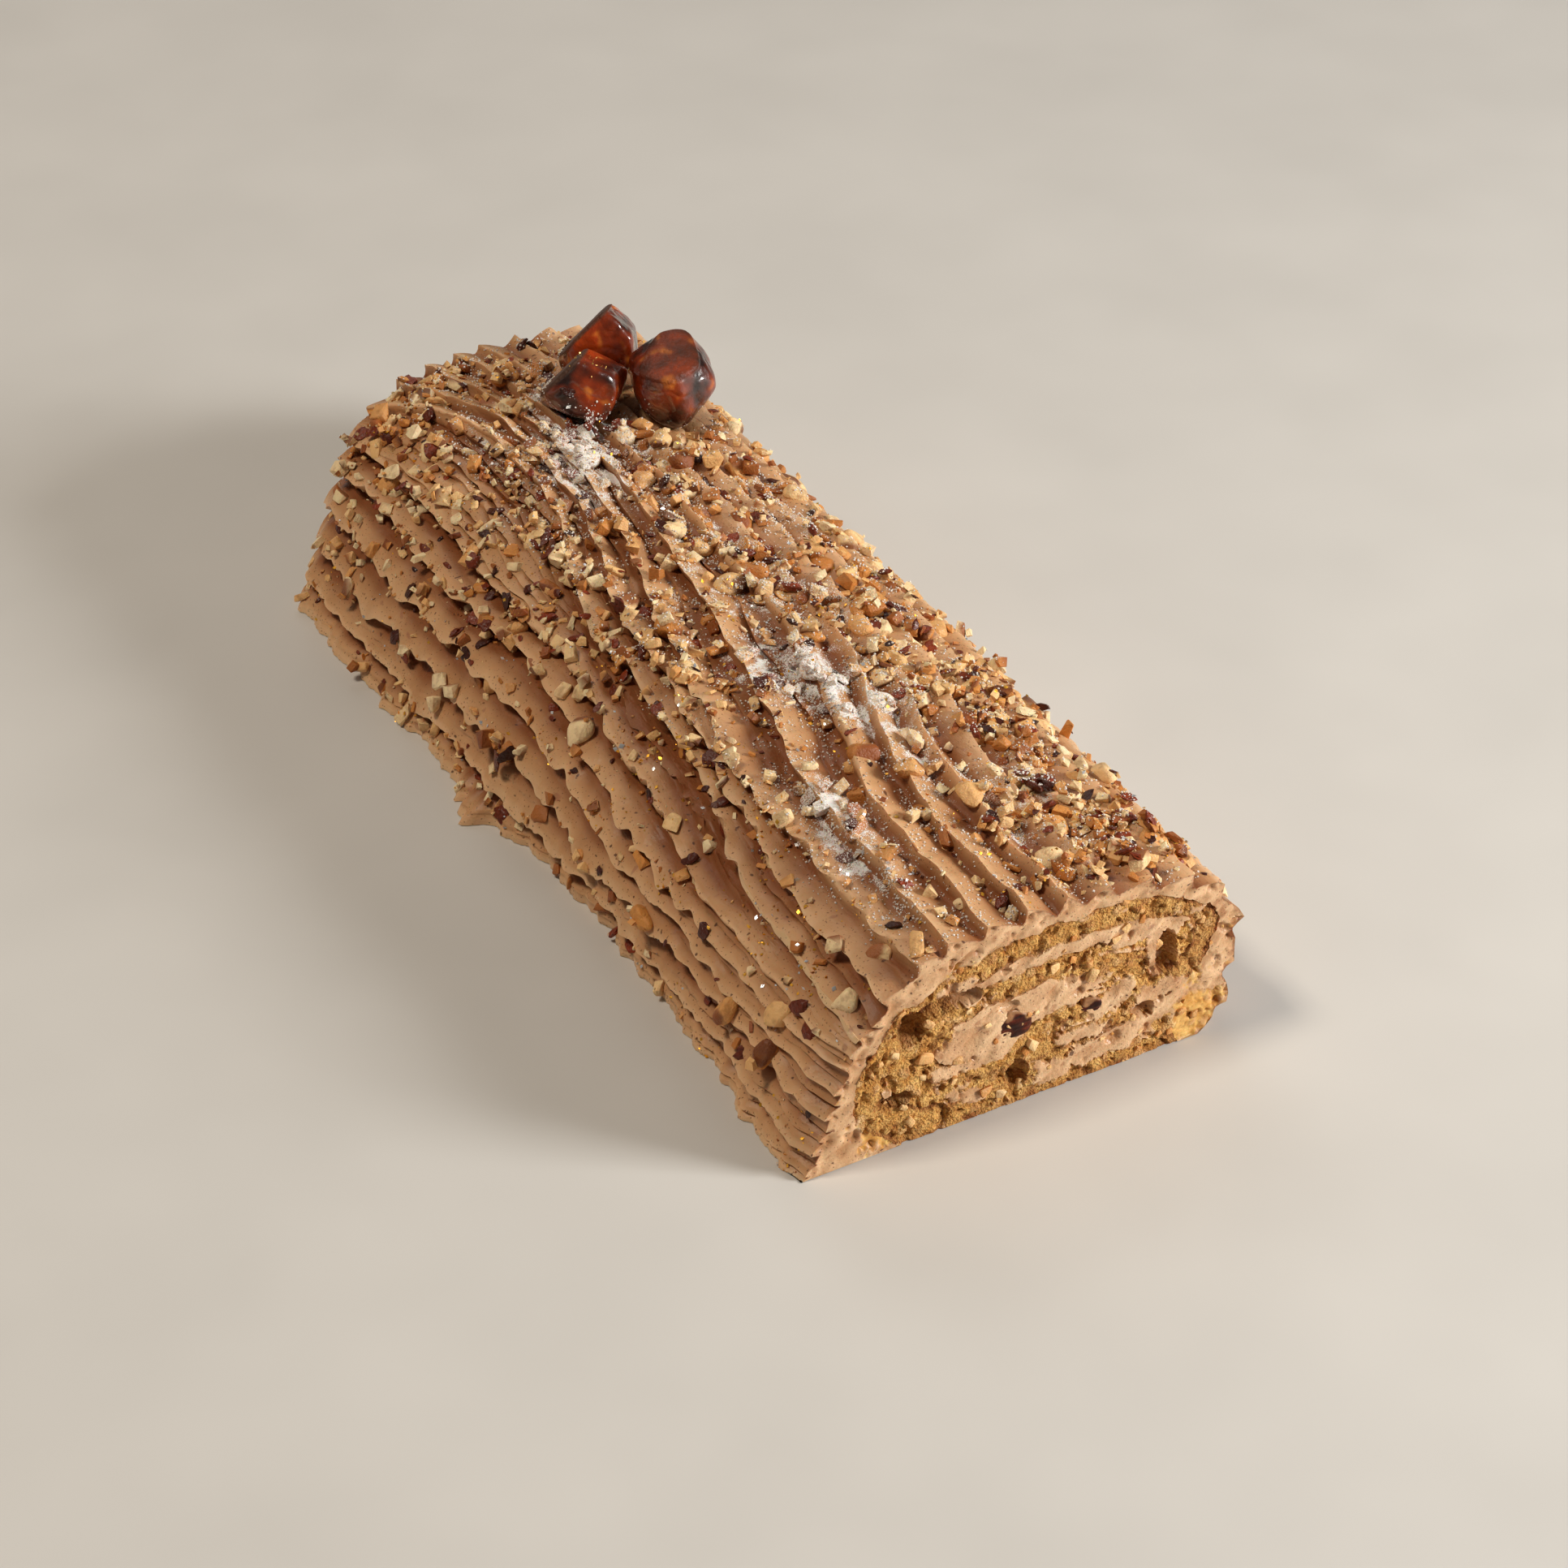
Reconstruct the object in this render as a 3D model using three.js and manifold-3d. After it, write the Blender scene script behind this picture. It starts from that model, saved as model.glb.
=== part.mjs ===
// A yule log cake: a flat sheet of sponge rolled up with buttercream, cut square at both ends,
// and iced over its top and sides with strokes of a palette knife. Chopped roasted nuts stick to
// the icing, and three pieces of glazed chestnut sit at the far end.
//
// Millimetres, +Z up. Inside the log group, x runs across the log, y along it from the front cut,
// and z up from the plate. The group then puts the middle of the underside at the origin.

import * as THREE from 'three';
import { mergeVertices } from 'three/addons/utils/BufferGeometryUtils.js';
import Module from 'manifold-3d';

const wasm = await Module();
wasm.setup();

const { clamp, degToRad, lerp, smoothstep } = THREE.MathUtils;

// ---------------------------------------------------------------- driving dimensions

const LOG_MIDDLE = new THREE.Vector3(50, 138, 0); // of the underside, from the front left foot
const KNIFE_GAP = 0.3; // left between pieces that touch

// The far cut is a little askew: its place along the log grows with x and with z.
const FAR_CUT = 268;
const FAR_CUT_PER_X = 0.09;
const FAR_CUT_PER_Z = 0.08;
const LOG_LENGTH = 276; // along the top, where the strokes are set out

// Outside of the icing, over the ridges: [way round from the left foot, x, z].
const ICING_OUTLINE = [
  [0, -9, 0],
  [15, -4, 14],
  [33, 3, 31],
  [51, 15, 44],
  [66, 28, 51.6],
  [80, 42, 53.5],
  [98, 60, 53.5],
  [120, 82, 50.6],
  [139, 99, 44.5],
  [152, 107, 34],
  [159, 109, 27],
  [167, 107, 19],
  [175, 107, 11],
  [182, 104.5, 5],
  [190, 98, 0],
];
const WAY_ROUND = 190;
const TOP_OF_ROUND = 104; // left of it the strokes hang to the left, right of it to the right
const TOP_BLEND = 12; // way round over which one turns into the other

// The left foot of the icing, [along the log, x of its edge], and one lump squeezed out there.
const LEFT_FOOT = [
  [0, -9],
  [22, -6],
  [60, -3],
  [120, -2],
  [156, -6],
  [190, -7],
  [226, -9],
  [276, -10],
];
const FOOT_HEIGHT = 33; // way round over which the foot's shape dies away
const FOOT_LUMP = { along: 165, halfWidth: 9, reach: 6 };

// Lines of the knife's strokes. Each row is one ridge, counted from the left foot, with its way
// round at each station along the log. Ridges between two rows are spaced evenly.
const STROKE_STATIONS = [0, 60, 100, 150, 200, 240, 276];
const STROKE_LINES = [
  { ridge: 0, wayRound: [0, 0, 0, 0, 0, 0, 0] },
  { ridge: 2, wayRound: [19, 19, 18, 22, 20, 19, 19] },
  { ridge: 4, wayRound: [31, 30, 34, 43, 41, 42, 40] },
  { ridge: 5, wayRound: [35, 36, 43, 50, 50, 51, 46] },
  { ridge: 6, wayRound: [41, 47, 57, 61, 75, 75, 57] },
  { ridge: 8, wayRound: [61, 61, 66, 78, 88, 87, 76] },
  { ridge: 10, wayRound: [80, 84, 96, 101, 103, 101, 93] },
  { ridge: 14, wayRound: [119, 121, 130, 134, 135, 133, 130] },
  { ridge: 20, wayRound: [190, 190, 190, 190, 190, 190, 190] },
];
const RIDGES = 20;
const RIDGE_DEPTH_PER_PITCH = 0.42;
const RIDGE_LEAN = 0.5; // how far a ridge hangs over its furrow, of its depth
const RIDGE_SHARPNESS = 1.6;
const FURROW_PLACE = 0.13; // how far the furrow's bottom is off the middle, of a pitch
// On the left side, behind the front part, the strokes are flat and overlap like shingles: their
// furrows lie further off the middle, and their ridges are less hollow.
const SHINGLES = { furrow: 0.2, flatness: 0.45, wayRound: [52, 82], along: [40, 100] };
const FRONT_PART = [70, 130]; // along the log, where the front depths give way to the back ones
// Deepest furrow allowed: [way round, depth near the front, depth further back].
const FURROW_DEPTHS = [
  [0, 2.2, 3.0],
  [30, 3.2, 3.8],
  [60, 3.9, 3.6],
  [95, 3.7, 2.8],
  [125, 3.1, 2.6],
  [165, 3.4, 2.4],
  [190, 1.8, 1.8],
];
// How far the strokes wander from their lines, with the wavelength along the log.
const DEPTH_WANDER = { share: 0.25, wavelength: 46 };
const CREST_WANDER = { reach: 0.35, wavelength: 17 };
const SIDEWAYS_WANDER = { reach: 1, wavelength: 58 };
const BODY_WANDER = { reach: 0.6, wavelength: 150 };
const FOOT_FADE = 8; // way round over which the relief dies away at both feet
const ICING_ROWS = 46;
// Columns between one ridge and the next, as shares of the way down to the furrow.
const RIDGE_COLUMNS = [0, 0.5, 1];
// Rounding of the icing's edge at both cuts, on the left side up to this way round.
const CUT_ROUNDING = { inset: 3.4, along: 9, full: 30, none: 56 };

// The roll in the cut face. A turn runs bottom, left, top, right, and turns are counted from the
// middle of the underside. Each list gives the sponge's middle line at its first and later turns.
const ROLL_BOTTOMS = [3.2, 12.6, 19.6];
const ROLL_LEFTS = [13.5, 25, 36];
const ROLL_TOPS = [43.6, 34.4, 26];
const ROLL_RIGHTS = [95.5, 84, 73];
const ROLL_SQUARENESS = 2.3; // 2 is an ellipse, more is squarer
const FIRST_CORNER_SQUARENESS = 3.2; // bottom left, where the roll's own weight lies on the plate
const ROLL_LEAN = 0.42; // sideways per unit of height: the top leans to the right
const ROLL_MIDDLE_HEIGHT = 23;
const ROLL_TAIL_TURN = -0.16;
const ROLL_TAIL_X = 92;
const ROLL_INNER_TURN = 1.985;
const UNDERSIDE_TURN = 0.08; // up to here the sponge lies flat on the plate
const ROLL_STATIONS = 54;
// Thickness of the sponge: [turn, thickness].
const SPONGE_THICKNESS = [
  [-0.16, 4.6],
  [-0.05, 4.8],
  [0.05, 7.2],
  [0.16, 8.6],
  [0.3, 6.6],
  [0.55, 6.2],
  [0.95, 5.6],
  [1.5, 6],
  [1.97, 4.8],
];
const SPONGE_UNEVENNESS = 0.35;

// Glazed chestnuts on the icing. Faces are [x, y, z, distance] seen along the view of TURN: x to
// the right, y away, z up.
const CHESTNUT_TURN = degToRad(-29.3);
const CHESTNUT_SOFTNESS = 9;
const CHESTNUT_DETAIL = 3;
const GLAZED_CHESTNUTS = [
  {
    name: 'glazed_chestnut_left',
    place: [63.5, 235.5, 60.5],
    faces: [
      [-0.7, 0.3, 0.65, 6.6],
      [0.45, 0.2, 0.87, 7.8],
      [0.1, -0.95, 0.25, 8.8],
      [0.95, -0.1, 0.2, 10.5],
      [0.85, -0.2, -0.5, 10.2],
      [-0.95, -0.2, -0.1, 12.4],
      [-0.4, -0.6, -0.7, 10],
      [0, 1, 0.1, 8.8],
      [0, 0, -1, 8.5],
    ],
  },
  {
    name: 'glazed_chestnut_back',
    place: [77, 251.5, 61.5],
    faces: [
      [-0.7, 0.3, 0.65, 5.8],
      [0.65, 0.2, 0.73, 8.4],
      [0, -0.95, 0.3, 8.6],
      [0.95, 0, 0.1, 9.2],
      [0.6, -0.2, -0.75, 10],
      [-0.9, -0.3, 0, 12],
      [0, 1, 0, 8],
      [0, 0, -1, 9.5],
    ],
  },
  {
    name: 'glazed_chestnut_right',
    place: [83.5, 225.5, 60.5],
    faces: [
      [-0.05, -0.25, 0.97, 9.2],
      [0.55, -0.8, 0.1, 9.8],
      [-0.4, -0.9, -0.15, 9.8],
      [-0.95, -0.2, -0.1, 10.4],
      [0.92, 0.35, -0.1, 11.8],
      [0.75, -0.3, -0.6, 11],
      [-0.6, -0.3, -0.75, 11.6],
      [-0.6, 0, 0.8, 10.6],
      [0.75, 0, 0.65, 11],
      [0, 1, 0, 9.8],
      [0, 0, -1, 12],
    ],
  },
];

// Chestnut in the filling, cut through with the log: centre, half sizes across, along and up.
const CHUNK_SOFTNESS = 10;
const CHUNK_DETAIL = 1;
const CHUNKS_IN_FILLING = [
  { name: 'chestnut_in_filling_front', place: [48, 4.8, 22.8], half: [4.6, 5, 4.3] },
  { name: 'chestnut_in_filling_small', place: [68.5, 3.2, 20.2], half: [2.6, 3.2, 2.2] },
  { name: 'chestnut_in_filling_far', place: [56, 269.6, 24.2], half: [4.4, 5, 3.8] },
];
const CHUNK_FACES = [
  [1, 0.1, 0.1, 1],
  [-1, 0.1, 0.2, 1],
  [0.1, 1, 0, 1],
  [-0.1, -1, 0, 1],
  [0.15, 0, 1, 1],
  [-0.1, 0, -1, 1],
  [0.6, -0.2, 0.7, 1.12],
  [-0.6, 0.2, 0.7, 1.05],
];

// Hollows that the knife tore in both cuts: middle in x and z, half sizes, and depth.
const HOLLOW_SOFTNESS = 5;
const FRONT_HOLLOWS = [
  { place: [22, 31.8], half: [3.8, 4.4], depth: 4 },
  { place: [31.5, 35.2], half: [8.4, 2.3], depth: 3.2 },
  { place: [17.6, 13.2], half: [4.6, 1.9], depth: 3.4 },
  { place: [49.5, 7.8], half: [2.9, 3.7], depth: 3.4 },
  { place: [88, 27.5], half: [2.7, 6], depth: 3.6 },
  { place: [82.5, 13.3], half: [2.8, 1.9], depth: 3 },
];
const FAR_HOLLOWS = [
  { place: [31, 35], half: [5, 3], depth: 3 },
  { place: [82, 17], half: [4, 2.2], depth: 3 },
];

// Chopped nuts fused to the icing, largest of the many that lie on it.
const NUT_SEED = 41;
const NUT_DRAWS = 1500;
const NUT_LIMIT = 80;
const NUT_SIZES = [4.6, 7.4]; // across
const NUT_FLATNESS = 0.62;
const NUT_SUNK = 0.12; // of its size
const NUT_END_CLEAR = 5; // kept back from both cuts
const NUT_SPACING = 0.9; // of the two sizes' mean
const NUT_SOFTNESS = 7;
const NUT_FACES = 9;
const CHESTNUT_CLEAR = 13; // from a chestnut's middle
// Where the nuts lie thick: each pair is where they begin and where they are at their thickest.
const NUT_COVER = {
  bare: 0.07,
  shoulder: { share: 0.8, wayRound: [74, 106], wander: 9, wavelength: 90 },
  underRight: { share: 0.6, wayRound: [145, 170] },
  farEnd: { share: 0.55, along: [248, 268], wayRound: [40, 70] },
  middle: { share: 0.3, along: [90, 125], wayRound: [52, 70] },
};

const LUMP_REACH = 1.35;

// ---------------------------------------------------------------- curves and numbers

// A smooth curve through stations: places must rise, and past either end the value stays.
function smoothThrough(places, values) {
  const last = places.length - 1;
  const slopeAt = (i) => {
    const before = Math.max(i - 1, 0);
    const after = Math.min(i + 1, last);
    return (values[after] - values[before]) / (places[after] - places[before]);
  };
  return (place) => {
    const inside = clamp(place, places[0], places[last]);
    const end = Math.max(places.findIndex((station) => station >= inside), 1);
    const start = end - 1;
    const span = places[end] - places[start];
    const t = (inside - places[start]) / span;
    const rise = t * t * (3 - 2 * t);
    return (
      lerp(values[start], values[end], rise) +
      span * (slopeAt(start) * t * (1 - t) ** 2 - slopeAt(end) * t * t * (1 - t))
    );
  };
}

const column = (rows, index) => rows.map((row) => row[index]);

// Slow wandering between -1 and 1, different for each seed.
function wander(place, seed, wavelength) {
  const turn = (2 * Math.PI * place) / wavelength;
  const sum =
    Math.sin(turn + 1.7 * seed) +
    0.6 * Math.sin(2.3 * turn + 4.1 * seed) +
    0.35 * Math.sin(4.7 * turn + 2.9 * seed);
  return sum / 1.95;
}

function seededRandom(seed) {
  let state = seed;
  return () => {
    state = (Math.imul(state, 1664525) + 1013904223) >>> 0;
    return state / 4294967296;
  };
}

const farCutAt = (x, z) => FAR_CUT + FAR_CUT_PER_X * x + FAR_CUT_PER_Z * z;

// ---------------------------------------------------------------- solids

function solidOf(geometry) {
  const bare = geometry.clone();
  bare.deleteAttribute('normal');
  bare.deleteAttribute('uv');
  const merged = mergeVertices(bare, 1e-4);
  return new wasm.Manifold(
    new wasm.Mesh({
      numProp: 3,
      vertProperties: new Float32Array(merged.attributes.position.array),
      triVerts: new Uint32Array(merged.index.array),
    }),
  );
}

function geometryOf(solid) {
  const mesh = solid.getMesh();
  const geometry = new THREE.BufferGeometry();
  geometry.setAttribute('position', new THREE.BufferAttribute(mesh.vertProperties, 3));
  geometry.setIndex(new THREE.BufferAttribute(mesh.triVerts, 1));
  return geometry;
}

function largestBody(solid) {
  const bodies = solid.decompose();
  return bodies.reduce((best, body) => (body.volume() > best.volume() ? body : best));
}

// A prism along the log from a section outline in x and z, cut square or to the far cut.
function prismAlongLog(outline, start, reachesFarCut, end = 0) {
  const shape = new THREE.Shape(outline);
  const geometry = new THREE.ExtrudeGeometry(shape, { depth: 1, bevelEnabled: false, steps: 1 });
  geometry.rotateX(Math.PI / 2);
  const position = geometry.attributes.position;
  for (let i = 0; i < position.count; i += 1) {
    const isFar = position.getY(i) > -0.5;
    const far = reachesFarCut ? farCutAt(position.getX(i), position.getZ(i)) : end;
    position.setY(i, isFar ? far : start);
  }
  return geometry;
}

// A blocky lump with soft edges around flat faces, each [x, y, z, distance from the middle]. No
// corner reaches further than LUMP_REACH times the furthest face.
function lumpGeometry(faces, softness, detail) {
  const corner = LUMP_REACH * Math.max(...column(faces, 3));
  const geometry = new THREE.IcosahedronGeometry(1, detail);
  const position = geometry.attributes.position;
  const normals = faces.map(([x, y, z]) => new THREE.Vector3(x, y, z).normalize());
  const way = new THREE.Vector3();
  for (let i = 0; i < position.count; i += 1) {
    way.fromBufferAttribute(position, i).normalize();
    const pressed = faces.reduce((sum, face, index) => {
      const towards = Math.max(normals[index].dot(way), 0);
      return sum + (towards / face[3]) ** softness;
    }, corner ** -softness);
    way.multiplyScalar(pressed ** (-1 / softness));
    position.setXYZ(i, way.x, way.y, way.z);
  }
  return geometry;
}

// The same lump with every face moved out, for the pocket that it lies in.
const grown = (faces, by) => faces.map(([x, y, z, distance]) => [x, y, z, distance + by]);

// ---------------------------------------------------------------- the rolled sponge

const alongTurns = (values) => (turn) => {
  const start = clamp(Math.floor(turn), 0, values.length - 2);
  return lerp(values[start], values[start + 1], turn - start);
};
const rollBottom = alongTurns(ROLL_BOTTOMS);
const rollLeft = alongTurns(ROLL_LEFTS);
const rollTop = alongTurns(ROLL_TOPS);
const rollRight = alongTurns(ROLL_RIGHTS);
const spongeThickness = smoothThrough(column(SPONGE_THICKNESS, 0), column(SPONGE_THICKNESS, 1));

// Middle line of the sponge. Left, top and right are reached a quarter, half and three quarters
// of a turn after the bottom, so their lists are read that much earlier.
function rollMiddle(turn) {
  const wound = Math.max(turn, 0);
  const left = rollLeft(wound - 0.25);
  const right = rollRight(wound - 0.75);
  const bottom = rollBottom(wound);
  const top = rollTop(wound - 0.5);
  const angle = -Math.PI / 2 - 2 * Math.PI * wound;
  const squareness = wound < 0.25 ? FIRST_CORNER_SQUARENESS : ROLL_SQUARENESS;
  const square = (value) => Math.sign(value) * Math.abs(value) ** (2 / squareness);
  const across = square(Math.cos(angle));
  const up = square(Math.sin(angle));
  const x = (left + right) / 2 + ((right - left) / 2) * across;
  const z = (bottom + top) / 2 + ((top - bottom) / 2) * up;
  const lean = ROLL_LEAN * (z - ROLL_MIDDLE_HEIGHT);
  const tail = Math.max(turn / ROLL_TAIL_TURN, 0);
  return new THREE.Vector2(lerp(x + lean, ROLL_TAIL_X, tail), z);
}

// A point on one side of the sponge: side is 1 on its outside and -1 on its inside.
function spongeSurface(turn, side, gap = 0) {
  const step = 0.004;
  const middle = rollMiddle(turn);
  const ahead = rollMiddle(turn + step).sub(rollMiddle(turn - step)).normalize();
  const outward = new THREE.Vector2(-ahead.y, ahead.x).multiplyScalar(side);
  const uneven = SPONGE_UNEVENNESS * wander(turn + side, 3 + side, 0.21);
  const reach = spongeThickness(turn) / 2 + uneven + gap;
  return middle.addScaledVector(outward, reach);
}

// Points in the middle of the flat underside are dropped, so that it is one straight edge.
function withStraightUnderside(outline) {
  return outline.filter((point, i) => {
    const before = outline[(i + outline.length - 1) % outline.length];
    const after = outline[(i + 1) % outline.length];
    return point.y > 0 || before.y > 0 || after.y > 0;
  });
}

const rollTurns = Array.from({ length: ROLL_STATIONS + 1 }, (unused, i) =>
  lerp(ROLL_TAIL_TURN, ROLL_INNER_TURN, i / ROLL_STATIONS),
);
const turnsFrom = (first) => rollTurns.filter((turn) => turn >= first);
const LAST_FLAT_TURN = rollTurns.findLast((turn) => turn < UNDERSIDE_TURN);
// Where the outer turn has come round to the tail, and the icing closes over both.
const LAST_OUTER_TURN = rollTurns.findLast((turn) => turn <= ROLL_TAIL_TURN + 1);

function spongeOutline() {
  const outside = rollTurns.map((turn) => {
    const outer = spongeSurface(turn, 1);
    const isUnderside = turn < UNDERSIDE_TURN || outer.y < 0;
    return new THREE.Vector2(outer.x, isUnderside ? 0 : outer.y);
  });
  const inside = rollTurns.map((turn) => spongeSurface(turn, -1));
  return withStraightUnderside([...outside, ...inside.reverse()]);
}

// The filling lies against the inside of one turn and the outside of the next, and fills the core.
function fillingOutline() {
  const inside = rollTurns.map((turn) => spongeSurface(turn, -1, KNIFE_GAP));
  const outside = turnsFrom(LAST_OUTER_TURN).map((turn) => spongeSurface(turn, 1, KNIFE_GAP));
  const pastEnd = new THREE.Vector2(-KNIFE_GAP, 0);
  outside[0].add(pastEnd);
  const inner = inside.at(-1).clone().add(pastEnd);
  const outer = outside.at(-1).clone().add(pastEnd);
  return [...inside, inner, outer, ...outside.reverse()];
}

// The whole roll with the gap round it, which the icing is laid over.
function rollOutline() {
  const below = -1;
  const outside = turnsFrom(UNDERSIDE_TURN).filter((turn) => turn <= LAST_OUTER_TURN);
  const corner = spongeSurface(LAST_FLAT_TURN, 1, KNIFE_GAP);
  const outline = [new THREE.Vector2(corner.x - KNIFE_GAP, 0)];
  outline.push(...outside.map((turn) => spongeSurface(turn, 1, KNIFE_GAP)));
  const tailTop = spongeSurface(ROLL_TAIL_TURN, -1, KNIFE_GAP).y;
  outline.push(new THREE.Vector2(ROLL_TAIL_X + KNIFE_GAP, tailTop));
  outline.push(new THREE.Vector2(ROLL_TAIL_X + KNIFE_GAP, below));
  outline.push(new THREE.Vector2(outline[0].x, below));
  return outline;
}

// ---------------------------------------------------------------- the icing

const outlineX = smoothThrough(column(ICING_OUTLINE, 0), column(ICING_OUTLINE, 1));
const outlineZ = smoothThrough(column(ICING_OUTLINE, 0), column(ICING_OUTLINE, 2));
const footX = smoothThrough(column(LEFT_FOOT, 0), column(LEFT_FOOT, 1));
const frontDepth = smoothThrough(column(FURROW_DEPTHS, 0), column(FURROW_DEPTHS, 1));
const backDepth = smoothThrough(column(FURROW_DEPTHS, 0), column(FURROW_DEPTHS, 2));
const strokeCurves = STROKE_LINES.map((line) => smoothThrough(STROKE_STATIONS, line.wayRound));

// Way round of a ridge, or of a place between two ridges, at a place along the log.
function strokeLine(along, ridge) {
  const above = Math.max(STROKE_LINES.findIndex((line) => line.ridge >= ridge), 1);
  const below = above - 1;
  const share =
    (ridge - STROKE_LINES[below].ridge) / (STROKE_LINES[above].ridge - STROKE_LINES[below].ridge);
  return lerp(strokeCurves[below](along), strokeCurves[above](along), share);
}

// Outward direction of the bare outline.
function outlineNormal(wayRound) {
  const step = 0.5;
  const dx = outlineX(wayRound + step) - outlineX(wayRound - step);
  const dz = outlineZ(wayRound + step) - outlineZ(wayRound - step);
  return new THREE.Vector2(-dz, dx).normalize();
}

// Which way the ridges lean: -1 on the left and the top, 1 on the right.
function leaning(wayRound) {
  return 2 * smoothstep(wayRound, TOP_OF_ROUND - TOP_BLEND, TOP_OF_ROUND + TOP_BLEND) - 1;
}

function shingling(along, wayRound) {
  return (1 - smoothstep(wayRound, ...SHINGLES.wayRound)) * smoothstep(along, ...SHINGLES.along);
}

// Where the furrow's bottom lies between a ridge and the next, from 0 to 1.
function furrowPlace(along, ridgeBelow) {
  const middle = strokeLine(along, ridgeBelow + 0.5);
  return 0.5 - leaning(middle) * (FURROW_PLACE + SHINGLES.furrow * shingling(along, middle));
}

// A point of the iced surface. ridge counts from the left foot, and a whole number is a crest.
function icingPoint(along, ridge) {
  const below = Math.min(Math.floor(ridge), RIDGES - 1);
  const across = ridge - below;
  const wayRound = strokeLine(along, ridge);
  const pitch = strokeLine(along, below + 1) - strokeLine(along, below);
  const furrow = furrowPlace(along, below);
  const reach = across < furrow ? furrow : 1 - furrow;
  const sharpness =
    RIDGE_SHARPNESS - SHINGLES.flatness * shingling(along, strokeLine(along, below + 0.5));
  const crest = (Math.abs(across - furrow) / reach) ** sharpness;
  const fade =
    smoothstep(wayRound, 0, FOOT_FADE) * smoothstep(WAY_ROUND - wayRound, 0, FOOT_FADE);
  const furthestBack = smoothstep(along, ...FRONT_PART);
  const deepest = lerp(frontDepth(wayRound), backDepth(wayRound), furthestBack);
  const uneven = 1 + DEPTH_WANDER.share * wander(along, below + 5, DEPTH_WANDER.wavelength);
  const depth = fade * Math.min(RIDGE_DEPTH_PER_PITCH * pitch, deepest) * uneven;
  const nearestCrest = Math.round(ridge);
  const ragged =
    CREST_WANDER.reach * fade * crest * wander(along, nearestCrest + 11, CREST_WANDER.wavelength);
  const swell = BODY_WANDER.reach * fade * wander(along, 2, BODY_WANDER.wavelength);
  const lean = leaning(wayRound) * RIDGE_LEAN * depth * crest;
  const drift =
    SIDEWAYS_WANDER.reach * fade * wander(along, nearestCrest + 23, SIDEWAYS_WANDER.wavelength);
  const place = clamp(wayRound + lean + drift, 0, WAY_ROUND);
  const normal = outlineNormal(place);
  const fromCut = Math.min(along, LOG_LENGTH - along);
  const rounding =
    CUT_ROUNDING.inset *
    (1 - smoothstep(fromCut, 0, CUT_ROUNDING.along)) *
    (1 - smoothstep(wayRound, CUT_ROUNDING.full, CUT_ROUNDING.none));
  const out = swell + ragged - rounding - depth * (1 - crest);
  const footShape = (1 - clamp(wayRound / FOOT_HEIGHT, 0, 1)) ** 2;
  const lump =
    FOOT_LUMP.reach * Math.exp(-(((along - FOOT_LUMP.along) / FOOT_LUMP.halfWidth) ** 4));
  const footShift = footShape * (footX(along) - ICING_OUTLINE[0][1] - lump);
  return {
    x: outlineX(place) + normal.x * out + footShift,
    z: Math.max(outlineZ(place) + normal.y * out, 0),
    normal,
  };
}

const alongAt = (share, x, z) => share * farCutAt(x, z);

// The iced surface, its two cut ends and its flat underside, as one closed body.
function icingBlock() {
  const rows = ICING_ROWS;
  const columns = RIDGES * RIDGE_COLUMNS.length;
  const points = [];
  for (let row = 0; row <= rows; row += 1) {
    const share = row / rows;
    const along = share * LOG_LENGTH;
    for (let j = 0; j <= columns; j += 1) {
      const below = Math.floor(j / RIDGE_COLUMNS.length);
      const across = RIDGE_COLUMNS[j % RIDGE_COLUMNS.length] * furrowPlace(along, below);
      const { x, z } = icingPoint(along, below + across);
      points.push(new THREE.Vector3(x, alongAt(share, x, z), z));
    }
  }
  const at = (row, j) => row * (columns + 1) + j;
  const faces = [];
  for (let row = 0; row < rows; row += 1) {
    for (let j = 0; j < columns; j += 1) {
      faces.push(at(row, j), at(row, j + 1), at(row + 1, j));
      faces.push(at(row + 1, j), at(row, j + 1), at(row + 1, j + 1));
    }
    faces.push(at(row, 0), at(row + 1, 0), at(row, columns));
    faces.push(at(row + 1, 0), at(row + 1, columns), at(row, columns));
  }
  const endRing = (row) => {
    const ring = [];
    for (let j = 0; j <= columns; j += 1) {
      ring.push(new THREE.Vector2(points[at(row, j)].x, points[at(row, j)].z));
    }
    return ring;
  };
  THREE.ShapeUtils.triangulateShape(endRing(0), []).forEach(([a, b, c]) => {
    faces.push(at(0, a), at(0, b), at(0, c));
  });
  THREE.ShapeUtils.triangulateShape(endRing(rows), []).forEach(([a, b, c]) => {
    faces.push(at(rows, a), at(rows, c), at(rows, b));
  });
  const geometry = new THREE.BufferGeometry();
  geometry.setFromPoints(points);
  geometry.setIndex(faces);
  return geometry;
}

// ---------------------------------------------------------------- chestnuts and nuts

function chestnutGeometry(chestnut, gap = 0) {
  const geometry = lumpGeometry(grown(chestnut.faces, gap), CHESTNUT_SOFTNESS, CHESTNUT_DETAIL);
  geometry.rotateZ(CHESTNUT_TURN);
  geometry.translate(...chestnut.place);
  return geometry;
}

function chunkGeometry(chunk, gap = 0) {
  const geometry = lumpGeometry(CHUNK_FACES, CHUNK_SOFTNESS, CHUNK_DETAIL);
  const [across, along, up] = chunk.half;
  geometry.scale(across + gap, along + gap, up + gap);
  geometry.translate(...chunk.place);
  return geometry;
}

function hollowGeometry(hollow, isFar) {
  const [x, z] = hollow.place;
  const geometry = lumpGeometry(CHUNK_FACES, HOLLOW_SOFTNESS, CHUNK_DETAIL);
  geometry.scale(hollow.half[0], hollow.depth, hollow.half[1]);
  geometry.translate(x, isFar ? farCutAt(x, z) : 0, z);
  return geometry;
}

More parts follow.
